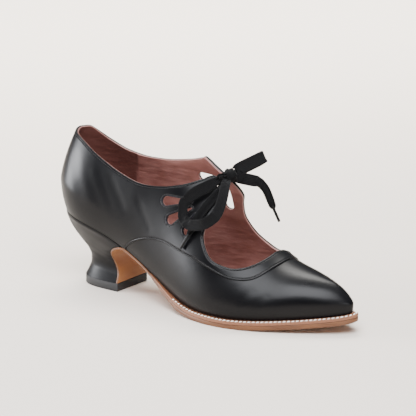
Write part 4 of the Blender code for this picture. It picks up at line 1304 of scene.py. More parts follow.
@dataclass(frozen=True)
class KnotTurn:
    """One turn of the band round the knot.

    lean is how far its axis leans from the bow's in radians, shift how far along the axis it lies
    in metres, size its radius as a share of the knot's and share how broad the band shows.
    """

    name: str
    lean: float
    shift: float
    size: float
    share: float


KNOT_TURNS = (KnotTurn("knot_wrap", 0.0, 0.0006, 1.0, 0.74),
              KnotTurn("knot_tuck", 0.9, -0.0030, 0.84, 0.50))
# The hard tip from the lace to its end: share of the way and share of AGLET_RADIUS
TIP_PROFILE = ((0.0, 0.5), (0.0, 0.92), (0.03, 1.0), (0.5, 0.98), (0.94, 0.96), (0.99, 0.80),
               (1.0, 0.5))


@dataclass
class Lacing:
    """The lace: two bands with their loops and ends, the knot, the run through the eyelets.

    Lengths are in metres, and a share is of LACE_WIDTH or KNOT_RADIUS.
    """

    row_step: float = 0.0007
    columns: int = 32
    path_every: int = 4
    edge_from: float = 0.88
    edge_thickness: float = 0.25
    pleats: float = 1.5
    pleats_below: float = 0.9
    pleat_drift: float = 0.6
    drift_rate: float = 0.09
    cup_middle: float = 0.4
    lean: float = 0.45
    most_lean: float = 1.2
    steadying: int = 7
    tip_inside: float = 0.0022
    tip_sides: int = 20
    core_sides: int = 40
    core_levels: int = 21
    core_share: float = 0.86
    core_length: float = 1.12
    core_reach: float = 0.97
    core_least: float = 0.02
    core_pleats: int = 5
    core_pleat: float = 0.05
    core_twist: float = 2.2
    wrap_axis: Point = (0.62, 0.62, 0.48)
    wrap_from: float = -0.55 * math.pi
    wrap_to: float = 1.65 * math.pi
    wrap_steps: int = 90
    wrap_start: float = 0.80
    wrap_radius: float = 0.92
    wrap_slide: float = 0.0008
    wrap_pleat: float = 0.0008
    wrap_cup: float = -0.0009
    run_share: float = 0.40
    run_facing: Point = (1.0, 0.0, 0.0)
    rise_lift: float = 0.0016
    rise_shares: tuple[float, ...] = (0.42, 0.55, 0.50, 0.36)
    rise_facing: Point = (0.3, -0.2, 1.0)

    def build(self) -> None:
        """Make the tips and the knot first, then the two cords and their run."""
        cotton = COTTON.make()
        hard = LACE_TIP.make()
        tips = [self.tip(strand, hard) for strand in STRANDS]
        knot = self.knot(cotton)
        for strand, tip in zip(STRANDS, tips):
            route = self.route(np.array(strand.rows) * (MM, MM, MM, 1.0))
            piece = self.band("lace_" + strand.side, route, cotton)
            dress(piece, "lace_cotton", "lace_loop_" + strand.side, "lace_end_" + strand.side)
            path = route[::self.path_every, 0:3] - ORIGIN
            length = float(travelled(path)[-1])
            LOG.info("%s: %.0f mm long", piece.name, length / MM)
        self.run(cotton)

    def route(self, rows: Array) -> Array:
        """A smooth route through rows of along, across, up and broad share."""
        return through(rows, self.row_step, closed=False)

    def band(self, name: str, route: Array, material: Material,
             facing: Array | None = None, pleat: float = 0.0012,
             cup: float = 0.00035) -> Object:
        """A woven band along a route, pleated where it is drawn together.

        Args:
            name: the piece's name.
            route: points and the band's broad share at each.
            material: its finish.
            facing: the way that its broad side faces at each point, or None for the bow's own.
            pleat: how deep its pleats are where it is drawn in most.
            cup: how far its two edges curl toward its broad side.

        Returns:
            The band.
        """
        points, share = route[:, 0:3], route[:, 3]
        run = unit(np.gradient(points, axis=0))
        if facing is None:
            facing = self.leaning(run)
        across = self.steady(np.cross(run, facing), run)
        out = np.cross(across, run)
        over = np.linspace(-1.0, 1.0, self.columns // 2)
        past = (np.abs(over) - self.edge_from).clip(0) / (1.0 - self.edge_from)
        edge = np.sqrt(np.clip(1.0 - past ** 2, 0.0, 1.0))
        thick = 0.5 * LACE_THICKNESS * (self.edge_thickness + (1.0 - self.edge_thickness) * edge)
        rings = []
        for number, (point, side, front, broad) in enumerate(zip(points, across, out, share)):
            drift = self.pleat_drift * math.sin(self.drift_rate * number)
            depth = pleat * max(0.0, self.pleats_below - broad)
            fold = depth * np.sin(over * math.pi * self.pleats + drift)
            fold += cup * (over * over - self.cup_middle)
            middle = point + np.outer(over * LACE_WIDTH * broad / 2, side)
            top, low = (middle + np.outer(fold + half, front) for half in (thick, -thick))
            rings.append(np.vstack([top, low[::-1]]))
        piece = stack(name, rings, material, clean=False)
        add_values(piece, "along_mm", np.repeat(travelled(points) / MM, 2 * len(over)))
        unfolded = np.concatenate([over, over[::-1]]) * LACE_WIDTH / 2 / MM
        add_values(piece, "across_mm", np.tile(unfolded, len(points)))
        return piece

    def leaning(self, run: Array) -> Array:
        """The bow's facing at each point, leaning outward where the route turns tightly."""
        turn = np.gradient(run, axis=0) / self.row_step * LACE_WIDTH * self.lean
        size = np.linalg.norm(turn, axis=1)[:, None]
        turn *= np.minimum(1.0, self.most_lean / np.maximum(size, 1e-9))
        return unit(np.array(BOW_FACING)) - turn

    def steady(self, across: Array, run: Array) -> Array:
        """Directions across a band without flips or sudden twists.

        Args:
            across: the direction wanted at each point of the route.
            run: the route's own direction there.

        Returns:
            Smoothed directions, square to the run.
        """
        across = across.copy()
        for k in range(1, len(across)):
            if across[k] @ across[k - 1] < 0:
                across[k] *= -1
        padded = np.pad(across, ((self.steadying, self.steadying), (0, 0)), mode="edge")
        window = np.hanning(2 * self.steadying + 3)[1:-1]
        smooth = np.stack([np.convolve(padded[:, k], window, mode="valid") for k in range(3)], 1)
        return unit(smooth - run * (smooth * run).sum(1)[:, None])

    def tip(self, strand: Strand, material: Material) -> Object:
        """The hard tip on a lace end.

        Args:
            strand: the half of the lace that it closes.
            material: its finish.

        Returns:
            The tip, its start hidden inside the lace.
        """
        start, end = np.array(strand.tip) * MM
        run = unit(end - start)
        start = start - run * self.tip_inside
        side = unit(np.cross(run, (0.0, 0.0, 1.0)))
        front = np.cross(run, side)
        turns = np.linspace(0.0, 2 * math.pi, self.tip_sides, endpoint=False)[:, None]
        girdle = AGLET_RADIUS * (side * np.cos(turns) + front * np.sin(turns))
        rings = [start + (end - start) * share + girdle * size for share, size in TIP_PROFILE]
        name = "aglet_" + strand.side
        piece = stack(name + "_tip", rings, material)
        dress(piece, "aglet", name)
        return piece

    def knot(self, material: Material) -> Object:
        """The knot: turns of the band wound round the lace, over a core of its own folds."""
        turns = np.linspace(0.0, 2 * math.pi, self.core_sides, endpoint=False)
        rings = []
        for level in np.linspace(-self.core_reach, self.core_reach, self.core_levels):
            waves = np.sin(self.core_pleats * turns + self.core_twist * level)
            size = math.sqrt(1.0 - level * level) + self.core_least
            size = size * (1.0 + self.core_pleat * waves)
            ring = np.stack([np.cos(turns) * size, np.full(len(turns), level * self.core_length),
                             np.sin(turns) * size], 1)
            rings.append(np.array(KNOT_CENTRE) + ring * KNOT_RADIUS * self.core_share)
        core = stack("knot", rings, material, clean=False)
        dress(core, "lace_cotton", "lace_knot")
        for turn in KNOT_TURNS:
            self.wrap(turn, material).parent = core
        return core

    def wrap(self, turn: KnotTurn, material: Material) -> Object:
        """One turn of the band round the knot.

        Args:
            turn: where it lies and how broad it shows.
            material: its finish.

        Returns:
            The turn, its ends tucked under each other.
        """
        axis = unit(np.array(self.wrap_axis))
        front = unit(np.array(BOW_FACING))
        front = unit(front - axis * (front @ axis))
        axis = axis * math.cos(turn.lean) + np.cross(axis, front) * math.sin(turn.lean)
        above = np.cross(axis, front)
        angles = np.linspace(self.wrap_from, self.wrap_to, self.wrap_steps)[:, None]
        radial = np.cos(angles) * above - np.sin(angles) * front
        grow = np.linspace(self.wrap_start, 1.0, len(angles))[:, None] * turn.size
        slide = np.linspace(-self.wrap_slide, self.wrap_slide, len(angles))[:, None]
        middle = np.array(KNOT_CENTRE) + axis * turn.shift
        points = middle + radial * (self.wrap_radius * KNOT_RADIUS * grow) + slide * axis
        route = np.hstack([points, np.full((len(points), 1), turn.share)])
        return self.band(turn.name, route, material, radial, pleat=self.wrap_pleat,
                         cup=self.wrap_cup * turn.share)

    def run(self, material: Material) -> None:
        """The lace's run up through both eyelets, across below the tabs and up to the knot."""
        places = []
        for side, (station, girth) in EYELETS.items():
            levels = BAR_LEVELS if side is Side.OUTER else BAR_LEVELS[::-1]
            places.append(LAST.place(station, girth, levels))
        points = np.vstack(places)
        route = self.route(np.column_stack([points, np.full(len(points), self.run_share)]))
        piece = self.band("lace_run", route, material, np.tile(self.run_facing, (len(route), 1)))
        dress(piece, "lace_cotton", "lace_bar")
        knot = np.array(KNOT_CENTRE)
        lift = np.array([0.0, 0.0, self.rise_lift])
        for name, start in (("lace_rise_outer", points[0]), ("lace_rise_inner", points[-1])):
            path = [start - 0.3 * lift, 0.75 * start + 0.25 * knot + lift,
                    0.5 * (start + knot) + lift, knot]
            route = self.route(np.column_stack([path, self.rise_shares]))
            facing = np.tile(self.rise_facing, (len(route), 1))
            self.band(name, route, material, facing).parent = piece


@dataclass
class Upper:
    """The upper: the quarter with its tabs and cut-outs, the vamp below it and the lining.

    Lengths are in metres.  rings and lap_rings are the distances in millimetres from an edge at
    which its relief is drawn, and a ridge is its height, its distance from the edge and its reach.
    A ring's or a stitch's point is kept where its gap is at least the true share of its distance,
    and a foot is the lowest girth that the lap line or its stitches come down to.
    """

    edge_round: float = 0.0005
    lap_round: float = 0.00035
    lining_round: float = 0.0003
    under_lap: float = 0.003
    quarter_wall: float = 0.0015
    full_wall_from: float = 0.004
    layer_gap: float = 0.00003
    vamp_gap: float = 0.00004
    edge_seam: float = 0.0015
    petal_seam: float = 0.0013
    lap_seam: float = 0.0014
    edge_ridge: Point = (0.00012, 0.0011, 0.0007)
    petal_ridge: Point = (0.00026, 0.0006, 0.0005)
    lap_ridge: Point = (0.00008, 0.0006, 0.0004)
    furrow_half: float = 0.0003
    petal_furrow_half: float = 0.00028
    furrow_depth: float = 0.00028
    lap_shade: float = 0.0007
    counter_seam: tuple[float, float] = (2.65, 0.30)
    counter_fade: float = 0.03
    counter_step: float = 0.0003
    counter_ridge: Point = (0.0002, 0.05, 0.12)
    thread_depth: float = -0.00010
    longest_step: float = 0.004
    true_ring: float = 0.9
    true_stitch: float = 0.93
    lap_foot: float = 0.003
    stitch_foot: float = 0.004
    rings: tuple[float, ...] = (0.08, 0.2, 0.4, 0.7, 1.0, 1.2, 1.35, 1.5, 1.65, 1.85, 2.3, 2.9)
    lap_rings: tuple[float, ...] = (0.08, 0.2, 0.4, 0.8, 1.1, 1.25, 1.4, 1.55, 1.7, 2.2, 2.9)

    def __post_init__(self) -> None:
        """Draw the lines of the pattern."""
        self.opening = top_line()
        self.petals = petals()
        self.eyelets = eyelets()
        self.holes = [self.opening, *self.petals, *self.eyelets]
        self.lap = lap_flat()
        edge = np.arange(0, AROUND, 1.0 / GRID_LINES)
        self.feather = Trace(edge, np.zeros(len(edge)), True)
        lap = Trace(*LAST.fold(self.lap), False)
        self.lap_trace = lap.kept(lap.girth > self.lap_foot)
        run = unit(np.gradient(self.lap, axis=0))
        self.toward_vamp = np.stack([run[:, 1], -run[:, 0]], 1)
        middle = len(self.lap) // 2
        if (LAST.flat(TIP, 0.0) - self.lap[middle]) @ self.toward_vamp[middle] < 0:
            self.toward_vamp = -self.toward_vamp

    def vamp_region(self, back: float) -> Array:
        """The flat region on the vamp's side of the lap line, reaching back under the quarter."""
        first = LAP_LINE["waist"][0]
        round_toe = LAST.flat(np.arange(first, AROUND - first, 0.25), np.float64(-0.2))
        return np.vstack([self.lap - self.toward_vamp * back, round_toe[::-1]])

    def ringed(self, trace: Trace, distances: tuple) -> Array:
        """Flat points at distances beside a line, on the leather's side of it.

        Args:
            trace: the line.
            distances: how far beside it, in millimetres, less than 0 on its other side.

        Returns:
            The points that lie truly that far from the line.
        """
        found = []
        sign = self.outward(trace) if trace.closed else 1.0
        for millimetres in distances:
            line = trace.moved(sign * millimetres * MM)
            gap = trace.gap(line.points())
            good = (gap > self.true_ring * abs(millimetres) * MM) & (line.girth < 1.0)
            found.append(line.flat()[good])
        return np.vstack(found)

    def cut(self, holes: list[Trace], region: Array | None, keep_inside: bool,
            extra: list[Array]) -> tuple[Array, Array, Array]:
        """Triangulate a flat pattern piece.

        Args:
            holes: the openings in it.
            region: a flat loop that bounds it beside the feather edge, or None.
            keep_inside: whether the piece is inside that loop.
            extra: more flat points, such as rings beside the edges.

        Returns:
            Stations, girths and triangles.
        """
        girths = np.linspace(0.0, 1.0, GRID_GIRTHS + 1)[1:]
        lines, levels = np.meshgrid(self.feather.station, girths, indexing="ij")
        keep = (levels < ON_RIDGE) | (lines <= TIP)
        grid = LAST.flat(lines[keep], levels[keep])
        placed = LAST.place(lines[keep], levels[keep])
        free = np.ones(len(grid), bool)
        for hole in holes:
            free &= ~inside(grid, hole.flat())
        taken = np.vstack([LAST.place(*LAST.fold(rows)) for rows in extra])
        tree = nearest_tree(taken)
        for index in np.flatnonzero(free):
            free[index] = tree.find(placed[index])[2] > GRID_MARGIN
        outline = self.feather.flat()
        bounds = [(outline, True), *((hole.flat(), True) for hole in holes)]
        if region is not None:
            bounds.append((region[:len(self.lap)], False))
        points, edges = [], []
        for line, closed in bounds:
            edges += chain(len(points), len(line), closed)
            points.extend(line)
        points.extend(grid[free])
        for rows in extra:
            points.extend(rows)
        flat, _, triangles, *_ = delaunay_2d_cdt([tuple(p) for p in points], edges, [], 0, 1e-6)
        flat = np.array([tuple(p) for p in flat])
        triangles = np.array([tuple(t) for t in triangles])
        centres = flat[triangles].mean(1)
        kept = inside(centres, outline)
        for hole in holes:
            kept &= ~inside(centres, hole.flat())
        if region is not None:
            within = inside(centres, region)
            kept &= within if keep_inside else ~within
        triangles = triangles[kept]
        used, numbered = np.unique(triangles, return_inverse=True)
        return *LAST.fold(flat[used]), numbered.reshape(triangles.shape)

    @staticmethod
    def shell(name: str, sheet: tuple, outer: Array, inner: Array,
              material: Material) -> Object:
        """A closed shell between two lifts from the last.

        Args:
            name: the piece's name.
            sheet: stations, girths and triangles, as from cut.
            outer: the lift of its outer face at each point.
            inner: the lift of its inner face at each point.
            material: its finish.

        Returns:
            The shell.
        """
        station, girth, triangles = sheet
        count = len(station)
        vertices = np.vstack([LAST.place(station, girth, outer), LAST.place(station, girth, inner)])
        seen = {(a, b) for t in triangles.tolist() for a, b in zip(t, t[1:] + t[:1])}
        faces = triangles.tolist() + (triangles[:, ::-1] + count).tolist()
        faces += [(b, a, a + count, b + count) for a, b in seen if (b, a) not in seen]
        return new_piece(name, vertices, faces, material, clean=False)

    def build(self) -> None:
        """Make and dress the three layers and their stitches."""
        leather = BLACK_CALF.make()
        edge_rows = [self.ringed(hole, self.rings) for hole in self.holes]
        lap_rows = [self.ringed(self.lap_trace, self.lap_rings),
                    self.ringed(self.lap_trace, tuple(-m for m in self.lap_rings))]
        self.quarter(leather, edge_rows + lap_rows)
        self.vamp(leather, lap_rows)
        self.lining(LINING.make(), edge_rows)
        self.sew()

    def quarter(self, material: Material, rows: list[Array]) -> None:
        """The quarter, lapped over the vamp and run round the throat as a band.

        Args:
            material: its finish.
            rows: flat points beside its edges.
        """
        sheet = self.cut(self.holes, self.vamp_region(0.0), False, rows)
        place = LAST.place(*sheet[0:2])
        edge = np.min([hole.gap(place) for hole in (self.opening, *self.eyelets)], axis=0)
        petal = np.min([hole.gap(place) for hole in self.petals], axis=0)
        lap = self.lap_trace.gap(place)
        furrow = np.max([swell(edge, self.edge_seam, self.furrow_half),
                         swell(petal, self.petal_seam, self.petal_furrow_half),
                         swell(lap, self.lap_seam, self.furrow_half)], axis=0)
        outer = ridge(edge, self.edge_ridge) + ridge(petal, self.petal_ridge)
        outer += ridge(lap, self.lap_ridge) - self.furrow_depth * furrow
        outer -= rounding(np.minimum(edge, petal), self.edge_round)
        outer -= rounding(lap, self.lap_round)
        outer += creased(place, np.minimum(np.minimum(edge, petal), lap))
        past_lap = np.clip((lap - self.full_wall_from) / self.full_wall_from, 0.0, 1.0)
        inner = self.layer_gap - LAP_STEP - past_lap * (self.quarter_wall - LAP_STEP)
        piece = self.shell("quarter", sheet, outer, inner, material)
        add_values(piece, "petal_mm", np.tile(petal / MM, 2))
        # Painted shade in the stitch furrows, with the thread's dark, for the finish to read
        add_values(piece, "groove_shade", np.tile(furrow, 2))
        dress(piece, "black_leather", "upper")

    def vamp(self, material: Material, rows: list[Array]) -> None:
        """The vamp, from the toe back under the quarter.

        Args:
            material: its finish.
            rows: flat points beside the lap line.
        """
        sheet = self.cut([self.opening], self.vamp_region(self.under_lap), True, rows)
        place = LAST.place(*sheet[0:2])
        lap = self.lap_trace.gap(place)
        piece = self.shell("vamp", sheet, creased(place, lap) - LAP_STEP,
                           np.full(len(lap), self.vamp_gap - UPPER_WALL), material)
        add_values(piece, "petal_mm", np.full(2 * len(lap), FAR_MM))
        # Painted shade: the vamp darkens toward the lap line, under the quarter's edge
        add_values(piece, "groove_shade", np.tile(np.clip(1.0 - lap / self.lap_shade, 0.0, 1.0), 2))
        dress(piece, "black_leather", "upper")

    def lining(self, material: Material, rows: list[Array]) -> None:
        """The lining, darker and a little thicker over the counter at the heel.

        Args:
            material: its finish.
            rows: flat points beside the openings.
        """
        sheet = self.cut(self.holes, None, True, rows)
        station, girth = sheet[0:2]
        place = LAST.place(station, girth)
        edge = np.min([hole.gap(place) for hole in self.holes], axis=0)
        side = np.minimum(station % AROUND, -station % AROUND)
        seam = side - (self.counter_seam[0] + self.counter_seam[1] * girth)
        counter = np.clip(0.5 - seam / self.counter_fade, 0.0, 1.0)
        inner = rounding(edge, self.lining_round) - FULL_WALL
        inner -= self.counter_step * (1.0 - counter) + ridge(seam, self.counter_ridge)
        piece = self.shell("lining", sheet, np.full(len(edge), -UPPER_WALL), inner, material)
        add_values(piece, "edge_mm", np.tile(edge / MM, 2))
        add_values(piece, "counter", np.tile(counter, 2))
        dress(piece, "lining_leather", "upper")

    def sew(self) -> None:
        """Stitch the top line, the petals and the lap."""
        rows = []
        for trace, distance in ((self.opening, self.edge_seam),
                                *((petal, self.petal_seam) for petal in self.petals)):
            line = trace.moved(self.outward(trace) * distance)
            true = trace.gap(line.points()) > self.true_stitch * distance
            keep = true & (line.girth < ON_RIDGE)
            rows += self.stretches(line, keep)
        for sign in (1.0, -1.0):
            line = self.lap_trace.moved(sign * self.lap_seam)
            if self.on_quarter(line):
                rows += self.stretches(line, line.girth > self.stitch_foot)
        EDGE_SEAM.sew(rows)

    def on_quarter(self, line: Trace) -> bool:
        """Whether a line beside the lap line is on the quarter's side of it."""
        middle = line.flat()[len(line.girth) // 2]
        return not inside(middle[None, :], self.vamp_region(0.0))[0]

    def stretches(self, line: Trace, keep: Array) -> list[tuple]:
        """The rows of a line's kept points, cut where points are left out.

        Args:
            line: the line to stitch along.
            keep: which of its points are kept.

        Returns:
            Rows of points, ways out of the leather and False, as Seam.sew takes them.
        """
        points = line.points(self.thread_depth)
        normals = LAST.normal(line.station, line.girth)
        steps = np.linalg.norm(np.diff(points, axis=0), axis=1)
        rows, first = [], 0
        cuts = [k + 1 for k, step in enumerate(steps)
                if step > self.longest_step or keep[k] != keep[k + 1]]
        for last in (*cuts, len(points)):
            if keep[first] and last - first > 3:
                rows.append((points[first:last], normals[first:last], False))
            first = last
        return rows

    @staticmethod
    def outward(trace: Trace) -> float:
        """The side of a closed line that the leather is on, as a sign for Trace.moved."""
        middle = trace.points().mean(0)
        grown = np.linalg.norm(trace.moved(MM).points() - middle, axis=1).mean()
        plain = np.linalg.norm(trace.points() - middle, axis=1).mean()
        return 1.0 if grown > plain else -1.0


def creased(place: Array, edge: Array) -> Array:
    """How far the listed creases lift the leather.

    Args:
        place: points on the last.
        edge: how far each is from the nearest edge or seam, where the creases die away.

    Returns:
        The lift at each point, less than 0 in a trough.
    """
    lift = np.zeros(len(place))
    for start, end, reach, height in CREASES:
        a, b = (LAST.place(np.float64(s), np.float64(g)) for s, g in (start, end))
        run = b - a
        share = (place - a) @ run / (run @ run)
        foot = a + np.clip(share, 0.0, 1.0)[:, None] * run
        lift += height * swell(np.linalg.norm(place - foot, axis=1), 0.0, reach)
    return lift * np.clip((edge - CREASE_MARGIN) / CREASE_MARGIN, 0.0, 1.0)


def swell(distance: Array, middle: float, reach: float) -> Array:
    """A smooth ridge across a distance, 1 at its middle and 0 past its reach."""
    share = np.clip(np.abs(distance - middle) / reach, 0.0, 1.0)
    return 0.5 + 0.5 * np.cos(math.pi * share)


def ridge(distance: Array, shape: Point) -> Array:
    """The lift of a low ridge, its shape a height, a middle and a reach."""
    return shape[0] * swell(distance, shape[1], shape[2])


def rounding(distance: Array, radius: float) -> Array:
    """How far a rounded edge falls away at a distance from it."""
    rest = np.clip(radius - distance, 0.0, radius)
    return radius - np.sqrt(np.maximum(radius * radius - rest * rest, 0.0))


# Edges of the bottom's pieces.  The sock's rows are a share of its thickness in from the edge and
# up; the top piece's are a height and how far in, in metres; the outsole's last rows are how far
# in and how far below the welt, in metres, and its tone is how dark each of its rings is.
SOCK_PROFILE = ((0.0, 0.0), (0.0, 0.7), (0.05, 0.87), (0.2, 0.97), (0.5, 1.0))
TOP_PIECE_PROFILE = (
    (0.0, 0.0010), (0.0, 0.0006), (0.00015, 0.00025), (0.0006, 0.0),
    (TOP_PIECE_HEIGHT - 0.0004, 0.0), (TOP_PIECE_HEIGHT - 0.0001, 0.0001),
    (TOP_PIECE_HEIGHT, 0.0004))
OUTSOLE_TOP_PROFILE = ((0.0, 0.0002), (0.0001, 0.00005), (0.0004, 0.0))
OUTSOLE_TONE = (0.0, 0.0, 0.3, 0.7, 1.0, 1.0, 1.0, 1.0, 1.0)


@dataclass
class Bottom:
    """The sock, welt, outsole, covered heel and top piece, with sizes in metres."""

    station_step: float = 1.0 / 16
    round_steps: int = 5
    heel_around: int = 121
    heel_levels: int = 61
    breast_levels: int = 41
    lip_gap: float = 0.10
    welt_under: float = 0.004
    welt_over: float = 0.0045
    welt_round: float = 0.0005
    welt_most_round: float = 0.4
    sole_inset: float = 0.004
    breast_inset: float = 0.003
    first_stitch: float = 5.6
    stitch_out: float = 0.0017
    stitch_up: float = 0.0001
    stitch_facing: tuple[float, float] = (0.75, 0.66)

    def sole_ring(self, stations: Array, depth: Array, inset: float) -> Array:
        """A ring of the sole's edge at a depth below the feather edge."""
        rows = self.sole_rows(stations)
        ring = LAST.feather(stations, rows["overhang"] * WELT_OVERHANG - inset)
        ring[:, 2] = LAST.row(stations)[:, 2] - depth
        return ring

    @staticmethod
    def sole_rows(stations: Array) -> dict[str, Array]:
        """The sole table's columns at stations on either side."""
        side = np.minimum(stations % AROUND, -stations % AROUND)
        return read_rows(SOLE_ROWS, SOLE_COLUMNS, side, "station")

    def build(self) -> None:
        """Make and dress every piece."""
        dress(self.insole(SOCK.make()), "lining_leather", "insole")
        dress(self.welt(WELT.make()), "welt_leather", "welt")
        dress(self.outsole(SOLE.make()), "sole_leather", "outsole")
        dress(self.heel(HEEL_CALF.make()), "black_leather", "heel")
        dress(self.top_piece(RUBBER.make()), "top_piece_rubber", "top_piece")
        self.sew_welt()

    def insole(self, material: Material) -> Object:
        """The insole with its leather sock."""
        stations = np.arange(0, AROUND, self.station_step)
        rings = []
        for inset, height in SOCK_PROFILE:
            inward = FULL_WALL + 2 * CLEARANCE + inset * INSOLE_THICKNESS
            edge = LAST.feather(stations, -inward)
            edge[:, 2] = LAST.row(stations)[:, 2] + height * INSOLE_THICKNESS
            rings.append(edge)
        return stack("sock", rings, material)

    def welt(self, material: Material) -> Object:
        """The welt between the upper and the outsole, thinned away at the waist."""
        stations = np.arange(WELT_STATION, AROUND - WELT_STATION + self.station_step / 2,
                             self.station_step)
        thickness = self.sole_rows(stations)["welt"] * WELT_THICKNESS
        edge_round = np.minimum(self.welt_round, self.welt_most_round * thickness)
        rings = [self.sole_ring(stations, CLEARANCE + thickness, self.welt_under),
                 self.sole_ring(stations, CLEARANCE + thickness, 0.0)]
        for turn in np.linspace(0.0, math.pi / 2, self.round_steps):
            rings.append(self.sole_ring(stations, CLEARANCE + edge_round * (1 - math.sin(turn)),
                                        edge_round * (1 - math.cos(turn))))
        rings.append(self.sole_ring(stations, CLEARANCE, self.welt_over))
        return stack("stitched_welt", rings, material)

    def sew_welt(self) -> None:
        """The pale stitches that show where the upper meets the welt."""
        stations = np.arange(self.first_stitch, AROUND - self.first_stitch, self.station_step / 2)
        points = LAST.feather(stations, self.stitch_out)
        foot = LAST.feather(stations, 0.0)
        points[:, 2] = LAST.row(stations)[:, 2] - CLEARANCE + self.stitch_up
        outward = unit((points - foot) * (1.0, 1.0, 0.0))
        facing = outward * self.stitch_facing[0] + np.array([0.0, 0.0, self.stitch_facing[1]])
        WELT_SEAM.sew([(points, facing, False)])

    def heel_ring(self, height: float) -> Array:
        """A ring of the heel at a share of its height, from breast to breast round the back.

        Args:
            height: the share of the way from the top piece up to the seat.

        Returns:
            The ring's points.
        """
        count = self.heel_around
        table = np.array(list(HEEL_ROWS.values()))
        row = {name: float(smooth_read(table[:, 0], table[:, k], height))
               for k, name in enumerate(HEEL_COLUMNS)}
        stations = np.linspace(LIP_STATION, -LIP_STATION, count)
        seat_line = LAST.feather(stations, 0.0)
        front, rear = seat_line[0, 0], seat_line[count // 2, 0]
        seat_unit = np.stack([(front - seat_line[:, 0]) / (front - rear),
                              seat_line[:, 1] / -seat_line[0, 1]], 1)
        turn = np.linspace(0.0, math.pi, count)
        power = 2.0 / HEEL_SQUARENESS
        across = -np.sign(np.cos(turn)) * np.abs(np.cos(turn)) ** power
        plain_unit = np.stack([np.sin(turn) ** power, across], 1)
        seat = min(1.0, max(0.0, row["seat"]))
        outline = (1.0 - seat) * plain_unit + seat * seat_unit
        breast, back = row["breast"] * SHOE_LENGTH, row["back"] * SHOE_LENGTH
        base = TOP_PIECE_HEIGHT + CLEARANCE
        seat_height = seat_line[:, 2] - CLEARANCE
        return np.stack([breast - outline[:, 0] * (breast - back),
                         outline[:, 1] * row["half_width"] * TREAD_WIDTH,
                         base + height * (seat_height - base)], 1)

    def heel(self, material: Material) -> Object:
        """The covered heel, from the top piece through its waist to the cupped seat."""
        levels = np.linspace(0.0, 1.0, self.heel_levels)
        piece = stack("covered_heel", [self.heel_ring(level) for level in levels], material)
        add_values(piece, "petal_mm", np.full(len(piece.data.vertices), FAR_MM))
        return piece

    def top_piece(self, material: Material) -> Object:
        """The wearing piece under the heel, as wide as it and the breast leather."""
        ring = self.heel_ring(0.0)
        front, back = ring[0, 0], ring[len(ring) // 2, 0]
        ring[:, 0] += (CLEARANCE + BREAST_LEATHER) * (ring[:, 0] - back) / (front - back)
        middle = 0.5 * (front + back)
        rings = []
        for height, inset in TOP_PIECE_PROFILE:
            shrink = 1.0 - inset / abs(ring[0, 1])
            rings.append(np.stack([middle + (ring[:, 0] - middle) * shrink, ring[:, 1] * shrink,
                                   np.full(len(ring), height)], 1))
        return stack("heel_top_piece", rings, material)

    def outsole(self, material: Material) -> Object:
        """The outsole, from the toe back along the waist and down the breast of the heel."""
        heights = np.linspace(0.0, HEEL_ROWS["lip"][0], self.breast_levels)
        corners = np.array([self.heel_ring(height)[[0, -1]] for height in heights])
        run = unit(np.gradient(corners[:, 0][:, [0, 2]], axis=0))
        ahead = np.stack([run[:, 1], np.zeros(len(run)), -run[:, 0]], 1)
        ahead[0] = (1.0, 0.0, 0.0)
        count = round((AROUND - 2 * LIP_STATION) / self.station_step) | 1
        first = LIP_STATION + self.lip_gap
        stations = np.linspace(first, AROUND - first, count)
        rows = self.sole_rows(stations)
        top = CLEARANCE + rows["welt"] * WELT_THICKNESS + rows["gap"] * CLEARANCE
        bottom = top + rows["sole"] * OUTSOLE_THICKNESS
        turns = np.linspace(0.0, math.pi / 2, self.round_steps)
        steps = [(self.sole_inset, 0.0), *((SOLE_EDGE_ROUND * (1 - math.sin(t)),
                                            SOLE_EDGE_ROUND * (1 - math.cos(t))) for t in turns)]
        rings = [self.sole_level(stations, corners, ahead, bottom - rise, inset,
                                 BREAST_LEATHER - rise) for inset, rise in steps]
        rings += [self.sole_level(stations, corners, ahead, top + sink, inset, sink)
                  for inset, sink in OUTSOLE_TOP_PROFILE]
        piece = stack("leather_outsole", rings, material, clean=False)
        add_values(piece, "edge_tone", np.repeat(OUTSOLE_TONE, len(rings[0])))
        return piece

    def sole_level(self, stations: Array, corners: Array, ahead: Array,
                   depth: Array, inset: float, lift: float) -> Array:
        """A ring of the outsole: up the breast, round the toe and down the breast again.

        Args:
            stations: the places round the toe.
            corners: the two corners of the heel's breast at each level.
            ahead: the way out of the breast at each level.
            depth: how deep the ring lies below the feather edge.
            inset: how far it is drawn in from the edge.
            lift: how far it stands out from the breast.

        Returns:
            The ring's points.
        """
        plate = self.sole_ring(stations, depth, inset)
        plate[:, 2] = np.maximum(plate[:, 2], 0.0)
        flap = corners + ahead[:, None, :] * (CLEARANCE + lift)
        inward = min(inset, self.breast_inset)
        flap[:, :, 1] += (inward, -inward)
        return np.vstack([flap[:, 0], plate, flap[::-1, 1]])


def smooth_read(keys: Array, values: Array, at: float) -> float:
    """Read a table's column smoothly between its rows, never past their values.

    Args:
        keys: the rows' places, rising.
        values: the column's value in each row.
        at: the place to read.

    Returns:
        The value there, on a monotone cubic.
    """
    slopes = np.diff(values) / np.diff(keys)
    ends = np.zeros(len(values))
    for k in range(1, len(values) - 1):
        if slopes[k - 1] * slopes[k] > 0:
            ends[k] = 2 * slopes[k - 1] * slopes[k] / (slopes[k - 1] + slopes[k])
    ends[0], ends[-1] = slopes[0], slopes[-1]
    k = int(np.clip(np.searchsorted(keys, at) - 1, 0, len(slopes) - 1))
    width = keys[k + 1] - keys[k]
    t = (at - keys[k]) / width
    return (values[k] * (1 + 2 * t) * (1 - t) ** 2 + values[k + 1] * t * t * (3 - 2 * t)
            + width * (ends[k] * t * (1 - t) ** 2 - ends[k + 1] * t * t * (1 - t)))


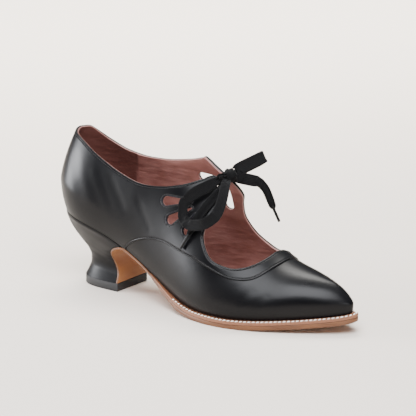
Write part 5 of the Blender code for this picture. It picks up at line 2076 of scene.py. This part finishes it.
def main() -> None:
    """Load the solids, then set the camera, the lace and every other piece in order."""
    logging.basicConfig(level=logging.INFO, format="%(name)s: %(message)s")
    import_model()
    studio = Studio()
    studio.aim()
    studio.air()
    Lacing().build()
    Upper().build()
    Bottom().build()
    for softbox in SOFTBOXES:
        softbox.hang()
    studio.floor()


if __name__ == "__main__":
    main()
